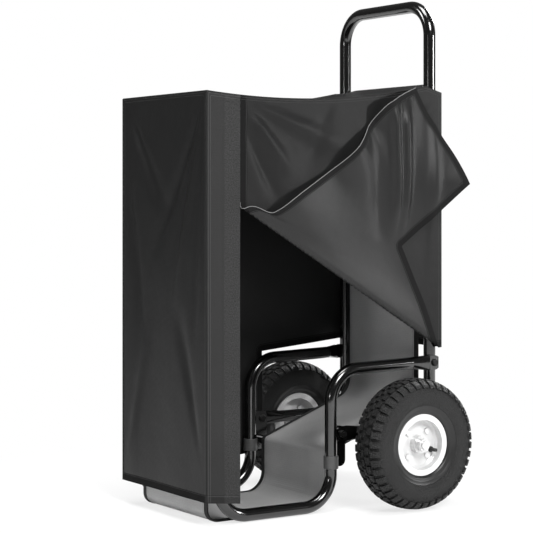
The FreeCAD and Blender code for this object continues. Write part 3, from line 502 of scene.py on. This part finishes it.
class RACK_OT_tyres(bpy.types.Operator):
    """Model one tyre with its block tread, and copy it to the other wheel."""
    bl_idname = "rack.tyres"
    bl_label = "Tyres"

    def execute(self, context):
        half = list(TYRE_SECTION)
        inside = list(TYRE_INSIDE)
        outline = half + [(-x, r) for x, r in reversed(half)] + [(-x, r) for x, r in inside]
        outline += [(x, r) for x, r in reversed(inside[:-1])] + [half[0]]
        clear_selection()
        x, r = outline[0]
        bpy.ops.mesh.primitive_plane_add(size=MM, location=((TRACK + x) * MM, AXLE_Y * MM, (AXLE_Z + r) * MM))
        tyre = context.object
        tyre.name = tyre.data.name = "right_block_tyre"
        bpy.ops.object.mode_set(mode="EDIT")
        bpy.ops.mesh.select_mode(type="VERT")
        bpy.ops.mesh.select_all(action="SELECT")
        bpy.ops.mesh.merge(type="CENTER")
        for (x0, r0), (x1, r1) in zip(outline, outline[1:]):
            bpy.ops.mesh.extrude_region_move(
                TRANSFORM_OT_translate={"value": ((x1 - x0) * MM, 0, (r1 - r0) * MM)})
        bpy.ops.mesh.select_all(action="SELECT")
        bpy.ops.mesh.remove_doubles(threshold=0.00005)
        steps = settings().tread_steps // 3 * 3
        bpy.ops.mesh.spin(steps=steps, angle=2 * math.pi, center=(TRACK * MM, AXLE_Y * MM, AXLE_Z * MM),
                          axis=(1, 0, 0))
        bpy.ops.mesh.select_all(action="SELECT")
        bpy.ops.mesh.remove_doubles(threshold=0.00005)
        bpy.ops.mesh.normals_make_consistent(inside=False)
        bpy.ops.object.mode_set(mode="OBJECT")
        bpy.ops.object.transform_apply(location=True, rotation=True, scale=True)
        self.raise_blocks(tyre, steps)
        tyre.data.materials.clear()
        tyre.data.materials.append(look("tyre"))
        smooth(tyre, 38)
        other = tyre.copy()
        other.data = tyre.data.copy()
        other.name = other.data.name = "left_block_tyre"
        context.scene.collection.objects.link(other)
        activate(other)
        bpy.ops.transform.translate(value=(-2 * TRACK * MM, 0, 0))
        bpy.ops.object.transform_apply(location=True, rotation=True, scale=True)
        for obj, side in ((tyre, "right"), (other, "left")):
            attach(obj, side + "_wheel")
            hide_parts(side + "_tyre")
        return {"FINISHED"}

    def raise_blocks(self, tyre, steps):
        """Select the blocks' faces by place, then extrude them outward."""
        bpy.ops.object.mode_set(mode="EDIT")
        bpy.ops.mesh.select_mode(type="FACE")
        bpy.ops.mesh.select_all(action="DESELECT")
        bpy.ops.object.mode_set(mode="OBJECT")
        for face in tyre.data.polygons:
            x, y, z = face.center
            offset = x / MM - TRACK
            radius = math.hypot(y / MM - AXLE_Y, z / MM - AXLE_Z)
            turn = math.atan2(z / MM - AXLE_Z, y / MM - AXLE_Y) / (2 * math.pi) * steps
            step = int(math.floor(turn + 0.01)) % steps
            outer = radius > 110 and 20 < abs(offset) < 34.2
            inner = radius > 119 and 6.5 < abs(offset) < 17
            centre = radius > 119 and abs(offset) < 3.5
            side = 0 if offset > 0 else 1
            face.select = (outer and (step + side) % 3 != 0 or inner and (step + side + 1) % 3 != 0
                           or centre and step % 3 != 0)
        bpy.ops.object.mode_set(mode="EDIT")
        bpy.ops.mesh.extrude_region_shrink_fatten(
            TRANSFORM_OT_shrink_fatten={"value": settings().tread_height})
        bpy.ops.object.mode_set(mode="OBJECT")


def rounded_path(corners, step):
    """Places along a path with rounded corners, and the length to each."""
    points = []
    ends = [np.array(c[:2], float) for c in corners]
    points.append(ends[0])
    for before, corner, after, (_, _, radius) in zip(ends, ends[1:], ends[2:], corners[1:]):
        into = (before - corner) / np.linalg.norm(before - corner)
        out = (after - corner) / np.linalg.norm(after - corner)
        half = math.acos(np.clip(into @ out, -1, 1)) / 2
        reach = radius / math.tan(half)
        bisector = (into + out) / np.linalg.norm(into + out)
        centre = corner + bisector * (radius / math.sin(half))
        first, last = corner + into * reach, corner + out * reach
        start, sweep = first - centre, math.pi - 2 * half
        turn = 1 if start[0] * (last - centre)[1] - start[1] * (last - centre)[0] > 0 else -1
        count = max(2, int(radius * sweep / step * 2), int(sweep / 0.2))
        for k in range(count + 1):
            angle = turn * sweep * k / count
            c, s = math.cos(angle), math.sin(angle)
            points.append(centre + np.array([c * start[0] - s * start[1], s * start[0] + c * start[1]]))
    points.append(ends[-1])
    dense = [points[0]]
    for point in points[1:]:
        gap = np.linalg.norm(point - dense[-1])
        if gap < 0.02:
            continue
        start = dense[-1]
        count = max(1, int(gap / (step * 2)))
        dense.extend(start + (point - start) * k / count for k in range(1, count + 1))
    dense = np.array(dense)
    length = np.concatenate([[0], np.cumsum(np.linalg.norm(np.diff(dense, axis=0), axis=1))])
    return dense, length


class RACK_OT_sling(bpy.types.Operator):
    """Hang the canvas sling over its bars, with dark tape along both edges."""
    bl_idname = "rack.sling"
    bl_label = "Canvas sling"

    def execute(self, context):
        s = settings()
        half = s.sling_width / MM / 2
        path, length = rounded_path(SLING_PATH, s.cloth_step / MM)
        across = np.linspace(-half, half, 41)
        u = np.repeat(across[None, :], len(path), axis=0)
        v = np.repeat(length[:, None], len(across), axis=1)
        ahead = np.gradient(path, axis=0)
        ahead /= np.linalg.norm(ahead, axis=1)[:, None]
        normal = np.stack([-ahead[:, 1], ahead[:, 0]], axis=1)
        free = np.minimum(1, np.minimum(length, length[-1] - length) / 120)
        slack = ripple(u, v, 1.4, 0.3) * np.clip((half - np.abs(u)) / 40, 0, 1) * free[:, None]
        slack *= (path[:, 1] > 20)[:, None]
        points = np.stack([u, path[:, 0][:, None] + normal[:, 0][:, None] * slack,
                           path[:, 1][:, None] + normal[:, 1][:, None] * slack], axis=-1)
        keep = np.ones((len(path) - 1, len(across) - 1), bool)
        ends = np.minimum(v, length[-1] - v)
        canvas, area = cloth_object("sling_canvas", u, v, points, keep, ["canvas"], s.canvas_thickness / MM,
                                    marks={"hem": ends + 2, "seam": half - np.abs(u) - 8})
        tapes = []
        for label, side in SIDES:
            width = s.binding_width / MM
            cross = np.array([half - width, half + 0.4, half + 0.4, half - width])
            lift = np.array([1.4, 1.4, -1.4, -1.4])
            tu = np.repeat(np.array([[0, width, width + 3, 2 * width + 3]]), len(path), axis=0)
            tv = np.repeat(length[:, None], 4, axis=1)
            x = np.repeat(side * cross[None, :], len(path), axis=0)
            tp = np.stack([x, path[:, 0][:, None] + normal[:, 0][:, None] * lift,
                           path[:, 1][:, None] + normal[:, 1][:, None] * lift], axis=-1)
            tape, _ = cloth_object(label + "_sling_binding", tu, tv, tp, np.ones((len(path) - 1, 3), bool),
                                   ["binding"], 0.6, inward=side < 0)
            tapes.append(tape)
        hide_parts("sling_back", "sling_slope", "sling_drop", "sling_base", "sling_front")
        declare(canvas, u, v, keep, tapes)
        return {"FINISHED"}


class RACK_OT_cover(bpy.types.Operator):
    """Sew the cover's front, top, back, far side and fixed near strip."""
    bl_idname = "rack.cover"
    bl_label = "Rain cover"

    def execute(self, context):
        s = settings()
        step = s.cloth_step / MM
        thick = s.cloth_thickness / MM
        self.front(step, thick)
        self.top(step, thick)
        self.back(step, thick)
        self.far_side(step, thick)
        self.near_strip(step, thick)
        return {"FINISHED"}

    def front(self, step, thick):
        across = np.linspace(-SIDE_X, SIDE_X, int(2 * SIDE_X / step))
        t = np.linspace(0, 1, int(757 / step))
        u = np.repeat(across[None, :], len(t), axis=0)
        v = np.repeat((HEM_FRONT + 756.2 * t)[:, None], len(across), axis=1)
        away = np.clip((SIDE_X - np.abs(u)) / 60, 0, 1)
        fade = away ** 1.5 * np.clip((TOP_FRONT_Z - v) / 60, 0, 1) ** 0.7
        y = FRONT_Y + fade * (ripple(u, v * 0.6, 2.6, 1.1) + 2.0 + drape(u, v, FRONT_FOLDS))
        y -= 3.0 * np.exp(-((v - HEM_FRONT) / 90) ** 2) * away
        points = np.stack([u, y, v], axis=-1)
        keep = np.ones((len(t) - 1, len(across) - 1), bool)
        marks = {"hem": v - HEM_FRONT, "seam": np.minimum(SIDE_X - np.abs(u), TOP_FRONT_Z - v)}
        obj, area = cloth_object("cover_front_cloth", u, v, points, keep, ["cover_outer", "cover_inner"],
                                 thick, inward=True, marks=marks)
        corners = []
        for label, side in SIDES:
            path = [(side * SIDE_X, FRONT_Y, z) for z in np.linspace(HEM_FRONT, 800.6, 120)]
            corners.append(cord_object(label + "_corner_piping", path, 1.9, "seam_piping"))
        path = [(x, FRONT_Y, 801.0) for x in np.linspace(-SIDE_X, SIDE_X, 60)]
        corners.append(cord_object("front_top_piping", path, 0.9, "seam_piping"))
        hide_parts("cover_front")
        declare(obj, u, v, keep, corners)

    def top(self, step, thick):
        leg = 14.0
        xs = np.unique(np.concatenate([np.linspace(-SIDE_X, -LEG_X + leg, 6),
                                       np.linspace(-LEG_X + leg, LEG_X - leg, int(259 / step)),
                                       np.linspace(LEG_X - leg, SIDE_X, 6)]).round(4))
        ys = np.unique(np.concatenate([np.linspace(FRONT_Y, LEG_Y - leg, int(520 / step)),
                                       np.linspace(LEG_Y - leg, BACK_Y, 7)]).round(4))
        u = np.repeat(xs[None, :], len(ys), axis=0)
        v = np.repeat(ys[:, None], len(xs), axis=1)
        edge = np.minimum(SIDE_X - np.abs(u), np.minimum(v - FRONT_Y, BACK_Y - v))
        sag = -5.0 * np.clip(edge / 90, 0, 1) + ripple(u, v, 1.8, 2.1) * np.clip(edge / 50, 0, 1)
        near_bars = np.exp(-((v - LEG_Y) / 30) ** 2) + np.exp(-((v - FRONT_BAR_Y) / 30) ** 2)
        z = top_z(v) + sag * (1 - np.clip(near_bars, 0, 1))
        points = np.stack([u, v, z], axis=-1)
        mu, mv = (xs[:-1] + xs[1:]) / 2, (ys[:-1] + ys[1:]) / 2
        keep = ~((np.abs(mu)[None, :] > LEG_X - leg) & (mv[:, None] > LEG_Y - leg))
        obj, area = cloth_object("cover_top_cloth", u, v, points, keep, ["cover_outer", "cover_inner"], thick,
                                 inward=True, marks={"seam": edge})
        piping = []
        for label, side in SIDES:
            path = [(side * SIDE_X, y, float(top_z(y))) for y in np.linspace(FRONT_Y, LEG_Y - leg, 100)]
            piping.append(cord_object(label + "_top_piping", path, 0.9, "seam_piping"))
        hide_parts("cover_top")
        declare(obj, u, v, keep, piping)

    def back(self, step, thick):
        across = np.linspace(-BACK_HALF, BACK_HALF, int(316 / step))
        t = np.linspace(CUT_REAR_Z, BACK_TOP, int(526 / step))
        u = np.repeat(across[None, :], len(t), axis=0)
        t = (t[:, None] - CUT_REAR_Z) / (BACK_TOP - CUT_REAR_Z)
        top = BACK_TOP - 15.4 * np.clip((np.abs(u) - 125) / 8, 0, 1)
        v = CUT_REAR_Z + (top - CUT_REAR_Z) * t
        edge = np.minimum(BACK_HALF - np.abs(u), top - v)
        y = BACK_Y + np.clip(edge / 60, 0, 1) * (ripple(u, v * 0.6, 2.0, 4.2) + 1.5)
        points = np.stack([u, y, v], axis=-1)
        keep = np.ones((len(t) - 1, len(across) - 1), bool)
        obj, area = cloth_object("cover_back_cloth", u, v, points, keep, ["cover_outer", "cover_inner"],
                                 thick, marks={"hem": v - CUT_REAR_Z, "seam": edge})
        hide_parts("cover_back")
        declare(obj, u, v, keep)

    def far_side(self, step, thick):
        def low(y):
            return HEM_FRONT + (y - FRONT_Y) * (HEM_CUT - HEM_FRONT) / (CUTOUT_Y - FRONT_Y)

        u, v, keep = side_grid(FRONT_Y, BACK_Y, low, cutout_top, step)
        hem, seam = side_marks(u, v, FRONT_Y, HEM_FRONT, HEM_CUT, False)
        fade = np.clip(seam / 60, 0, 1)
        x = -SIDE_X - fade * (ripple(u, v * 0.7, 2.5, 5.3) + 1.0)
        points = np.stack([x, u, v], axis=-1)
        obj, area = cloth_object("cover_far_side_cloth", u, v, points, keep, ["cover_outer", "cover_inner"],
                                 thick, inward=True, marks={"hem": hem, "seam": seam})
        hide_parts("cover_far_side")
        declare(obj, u, v, keep)

    def near_strip(self, step, thick):
        slope = HEM_FRONT - HEM_STRIP
        u, v, keep = side_grid(FRONT_Y, STRIP_REAR_Y,
                               lambda y: HEM_FRONT - (y - FRONT_Y) * slope / (STRIP_REAR_Y - FRONT_Y),
                               cutout_top, step / 2)
        seam = np.minimum(u - FRONT_Y, top_z(u) - v)
        pucker = np.clip((u + 246) / 12, 0, 1) * np.exp(-((top_z(u) - v) / 22) ** 2)
        x = SIDE_X + np.clip(seam / 30, 0, 1) * ripple(u * 2, v * 0.6, 0.9, 0.7)
        x += pucker * 1.1 * np.sin(v * 0.55 + u * 0.12)
        x += 0.5 * (u > BAND_Y)
        points = np.stack([x, u, v], axis=-1)
        band = ((u[:-1, :-1] + u[1:, 1:]) / 2 > BAND_Y).astype(int) * 2
        hem = v - HEM_STRIP - (STRIP_REAR_Y - u) * slope / 72.2
        obj, area = cloth_object("cover_strip_cloth", u, v, points, keep,
                                 ["cover_strip", "cover_inner", "hook_band"], thick,
                                 marks={"hem": hem, "seam": seam}, tone=band)
        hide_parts("cover_near_strip")
        declare(obj, u, v, keep)


# Soft folds in the flat panels: from, to, height and width
FRONT_FOLDS = (((150, 790), (-60, 470), 6, 16), ((150, 785), (40, 380), -6, 14),
               ((152, 770), (110, 300), 5, 12), ((-150, 790), (20, 560), 5, 20),
               ((-152, 760), (-90, 330), 5, 16), ((140, 120), (40, 420), 4, 18),
               ((-140, 100), (-60, 380), -4, 18))
FLAP_FOLDS = (((-205, 780), (-90, 640), 8, 16), ((-207, 740), (-120, 590), -6, 12),
              ((-205, 790), (60, 690), 7, 20), ((262, 800), (90, 640), 6, 22),
              ((0, 795), (-70, 640), -4, 22), ((262, 760), (240, 420), 4, 12))
# Upright ridges of the turned part: place along at the top and at the foot, height and width
FLAP_RIDGES = ((130.0, 138.0, 15.0, 10.0), (158.0, 156.0, 12.0, 9.0),
               (226.0, 210.0, 5.0, 12.0), (84.0, 108.0, -5.0, 18.0))


def cutout_top(y):
    """Height of the wheel cut-out's top edge."""
    return CUT_FRONT_Z + (y - CUTOUT_Y) * (CUT_REAR_Z - CUT_FRONT_Z) / (BACK_OUTER_Y - CUTOUT_Y)


def side_marks(u, v, front, hem_front, hem_rear, free_front):
    """Distances to the turned hems and to the sewn seams of a side panel."""
    hem = to_segment(u, v, (front, hem_front), (CUTOUT_Y, hem_rear))
    hem = np.minimum(hem, to_segment(u, v, (CUTOUT_Y, hem_rear), (CUTOUT_Y, CUT_FRONT_Z)))
    hem = np.minimum(hem, to_segment(u, v, (CUTOUT_Y, CUT_FRONT_Z), (BACK_Y, CUT_REAR_Z)))
    seam = np.minimum(BACK_Y - u, side_top(u) - v)
    if free_front:
        hem = np.minimum(hem, u - front)
    else:
        seam = np.minimum(seam, u - front)
    return hem, seam


# Where marked places of the folded part lie: (along, up) in the flat cut, then (out, along, up) folded
FOLD_MARKS = (
    ((-210.5, 536.0), (172.0, -163.0, 572.0)),
    ((-210.5, 436.0), (184.0, -92.0, 612.0)),
    ((-210.5, 340.0), (171.0, -12.0, 657.0)),
    ((-210.5, 247.0), (188.0, 44.0, 705.0)),
    ((-210.5, 194.0), (171.0, 81.0, 744.0)),
    ((-210.5, 124.0), (187.0, 115.0, 788.0)),
    ((-210.5, 70.0), (178.0, 165.0, 812.0)),
    ((-210.5, 38.0), (172.0, 193.0, 822.5)),
    ((-120.0, 51.7), (186.0, 222.0, 757.0)),
    ((-30.0, 65.4), (208.0, 262.0, 690.0)),
    ((46.5, 77.0), (226.0, 287.0, 632.0)),
    ((46.5, 150.0), (208.0, 240.0, 588.0)),
    ((46.5, 220.0), (186.0, 196.0, 545.0)),
    ((46.5, 284.0), (168.0, 161.0, 509.5)),
    ((120.0, 291.0), (167.0, 196.0, 440.0)),
    ((200.0, 298.5), (166.0, 233.0, 367.0)),
)
CREASE = ((-210.5, 590.7), (264.5, 306.1))


def warp(places, targets):
    """Smooth displacement over the flat cut that takes each given value at its place."""
    count = len(places)

    def weight(a, b):
        d2 = ((a[:, None] - b[None]) ** 2).sum(-1)
        return d2 * np.log(d2 + 1e-9) / 2

    left = np.zeros((count + 3, count + 3))
    left[:count, :count] = weight(places, places) + np.eye(count) * 20.0
    left[:count, count] = left[count, :count] = 1
    left[:count, count + 1:] = places
    left[count + 1:, :count] = places.T
    right = np.zeros((count + 3, 3))
    right[:count] = targets
    solved = np.linalg.solve(left, right)
    return lambda at: weight(at, places) @ solved[:count] + solved[count] + at @ solved[count + 1:]


def fold(u, v, radius):
    """Takes the flat flap to its hung and folded place: rolled over the crease, then reflected upward."""
    start, end = np.array(CREASE[0]), np.array(CREASE[1])
    along = (end - start) / np.linalg.norm(end - start)
    up = np.array([-along[1], along[0]])
    a = (u - start[0]) * along[0] + (v - start[1]) * along[1]
    q = -((u - start[0]) * up[0] + (v - start[1]) * up[1])
    angle = np.clip(q / radius, 0, math.pi)
    out = radius * (1 - np.cos(angle))
    rolled = math.pi * radius
    lift = np.where(q <= 0, -q, np.where(q < rolled, -radius * np.sin(angle), q - rolled))
    return np.stack([SIDE_X + out, start[0] + along[0] * a + up[0] * lift,
                     start[1] + along[1] * a + up[1] * lift], axis=-1), q


class RACK_OT_flap(bpy.types.Operator):
    """Hang the near side's flap, peeled open and folded back on itself."""
    bl_idname = "rack.flap"
    bl_label = "Folded flap"

    def execute(self, context):
        s = settings()
        step = s.cloth_step / MM
        front = FLAP_FRONT_Y
        slope = HEM_CUT - HEM_STRIP
        u, v, keep = side_grid(front, BACK_Y, lambda y: HEM_STRIP + (y - front) * slope / (CUTOUT_Y - front),
                               cutout_top, step)
        points, below = fold(u, v, CREASE_RADIUS)
        places = np.array([place for place, _ in FOLD_MARKS])
        wanted = np.array([target for _, target in FOLD_MARKS])
        plain, _ = fold(places[:, 0], places[:, 1], CREASE_RADIUS)
        line = np.linspace(0, 1, 9)[:, None]
        crease = np.array(CREASE[0]) * (1 - line) + np.array(CREASE[1]) * line
        shift = warp(np.concatenate([places, crease]), np.concatenate([wanted - plain, np.zeros((9, 3))]))
        moved = shift(np.stack([u.ravel(), v.ravel()], axis=1)).reshape(points.shape)
        ease = np.clip((below - 8) / 60, 0, 1)
        ease = (ease * ease * (3 - 2 * ease))[..., None]
        points = points + moved * ease
        hem, seam = side_marks(u, v, front, HEM_STRIP, HEM_CUT, True)
        hang = (below <= 0) * np.clip(np.minimum(seam, -below) / 50, 0, 1) * np.clip((u - front) / 40, 0, 1)
        points[..., 0] += hang * (ripple(u, v * 0.8, 2.6, 3.4) + 1.2 + drape(u, v, FLAP_FOLDS))
        self.ridges(points, below)
        obj, area = cloth_object("cover_flap_cloth", u, v, points, keep, ["cover_outer", "cover_inner"],
                                 s.cloth_thickness / MM, marks={"hem": hem, "seam": seam})
        free = points[0][(below[0] > -6)]
        # A light grey cord along the free edge paints the edge's highlight: the bright rim where it catches
        # the light
        piping = cord_object("flap_edge_highlight_cord", free[::-1], 0.7, "edge_highlight_cord")
        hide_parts("cover_flap_hanging", "cover_flap_folded")
        declare(obj, u, v, keep, [piping])
        return {"FINISHED"}

    def ridges(self, points, below):
        """Upright folds where the turned part gathers over its wheel cut-out."""
        y, z = points[..., 1], points[..., 2]
        for top_y, low_y, height, width in FLAP_RIDGES:
            t = np.clip((z - 520) / 260, 0, 1)
            middle = low_y + (top_y - low_y) * t
            window = np.clip((z - 520) / 70, 0, 1) * np.clip((812 - z) / 60, 0, 1) * (below > 40)
            points[..., 0] += height * window * np.exp(-((y - middle) / width) ** 2)


class RACK_OT_stage(bpy.types.Operator):
    """Set the pale floor, the soft lights and the camera."""
    bl_idname = "rack.stage"
    bl_label = "Studio"

    def execute(self, context):
        clear_selection()
        bpy.ops.mesh.primitive_plane_add(size=12.0, location=(0, 0, -0.0005))
        floor = context.object
        floor.name = "floor"
        floor.data.materials.append(self.floor_material())
        for name, place, target, size, power in (
                ("key", (3.4, -0.5, 2.9), (0, 0, 0.4), 1.5, 190),
                ("front", (-1.6, -3.0, 2.6), (0, 0, 0.6), 1.0, 62),
                ("back", (-1.2, 3.2, 2.4), (0, 0, 0.7), 1.0, 90),
                ("overhead", (0.4, -0.4, 3.4), (0, 0, 0), 1.4, 90),
                ("strip_rear", (2.6, 2.6, 1.1), (0, 0, 0.5), 0.35, 50),
                ("strip_front", (1.6, -3.6, 0.9), (0, 0, 0.5), 0.35, 16)):
            bpy.ops.object.light_add(type="AREA", location=place)
            light = context.object
            light.name = name
            light.data.energy = power
            light.data.size = size
            aim = np.array(target) - np.array(place)
            light.rotation_euler = (math.atan2(math.hypot(aim[0], aim[1]), -aim[2]),
                                    0, math.atan2(aim[1], aim[0]) - math.pi / 2)
        world = bpy.data.worlds.new("studio")
        context.scene.world = world
        world.use_nodes = True
        tree = world.node_tree
        back = tree.nodes["Background"]
        ray = tree.nodes.new("ShaderNodeLightPath")
        mix = tree.nodes.new("ShaderNodeMix")
        mix.data_type = "FLOAT"
        tree.links.new(ray.outputs["Is Camera Ray"], mix.inputs[0])
        mix.inputs[2].default_value = 0.1
        mix.inputs[3].default_value = 1.0
        tree.links.new(mix.outputs[0], back.inputs["Color"])
        bpy.ops.object.camera_add(location=(2.80844, -1.89392, 0.60234),
                                  rotation=(math.pi / 2, 0, math.radians(56.67)))
        camera = context.object
        camera.data.lens = 114.4
        camera.data.sensor_width = 36.0
        camera.data.shift_y = -0.1267
        context.scene.camera = camera
        context.scene.view_settings.view_transform = "Standard"
        return {"FINISHED"}

    def floor_material(self):
        material = bpy.data.materials.new("floor")
        material.use_nodes = True
        tree = material.node_tree
        shader = tree.nodes["Principled BSDF"]
        shader.inputs["Base Color"].default_value = (0.85, 0.85, 0.85, 1)
        shader.inputs["Roughness"].default_value = 0.9
        ray = tree.nodes.new("ShaderNodeLightPath")
        glow = tree.nodes.new("ShaderNodeEmission")
        mix = tree.nodes.new("ShaderNodeMixShader")
        place = tree.nodes.new("ShaderNodeTexCoord")
        length = tree.nodes.new("ShaderNodeVectorMath")
        length.operation = "LENGTH"
        far = tree.nodes.new("ShaderNodeMapRange")
        for socket, value in (("From Min", 0.3), ("From Max", 0.85), ("To Min", 0.72), ("To Max", 1.0)):
            far.inputs[socket].default_value = value
        share = tree.nodes.new("ShaderNodeMath")
        share.operation = "MULTIPLY"
        tree.links.new(place.outputs["Object"], length.inputs[0])
        tree.links.new(length.outputs["Value"], far.inputs["Value"])
        tree.links.new(far.outputs["Result"], share.inputs[0])
        tree.links.new(ray.outputs["Is Camera Ray"], share.inputs[1])
        tree.links.new(share.outputs[0], mix.inputs[0])
        tree.links.new(shader.outputs[0], mix.inputs[1])
        tree.links.new(glow.outputs[0], mix.inputs[2])
        tree.links.new(mix.outputs[0], tree.nodes["Material Output"].inputs["Surface"])
        return material


class RACK_PT_panel(bpy.types.Panel):
    bl_idname = "RACK_PT_panel"
    bl_label = "Firewood log rack"
    bl_space_type = "VIEW_3D"
    bl_region_type = "UI"
    bl_category = "Log rack"

    def draw(self, context):
        for name in RackSettings.__annotations__:
            self.layout.prop(context.scene.log_rack, name)
        for operator in OPERATORS:
            self.layout.operator(operator.bl_idname)


OPERATORS = (RACK_OT_finishes, RACK_OT_tyres, RACK_OT_sling, RACK_OT_cover, RACK_OT_flap, RACK_OT_stage)


def register():
    for kind in (RackSettings, *OPERATORS, RACK_PT_panel):
        bpy.utils.register_class(kind)
    bpy.types.Scene.log_rack = PointerProperty(type=RackSettings)


def unregister():
    del bpy.types.Scene.log_rack
    for kind in reversed((RackSettings, *OPERATORS, RACK_PT_panel)):
        bpy.utils.unregister_class(kind)


def main():
    register()
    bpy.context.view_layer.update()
    bpy.ops.rack.finishes()
    bpy.ops.rack.tyres()
    bpy.ops.rack.sling()
    bpy.ops.rack.cover()
    bpy.ops.rack.flap()
    bpy.ops.rack.stage()


if __name__ == "__main__":
    main()
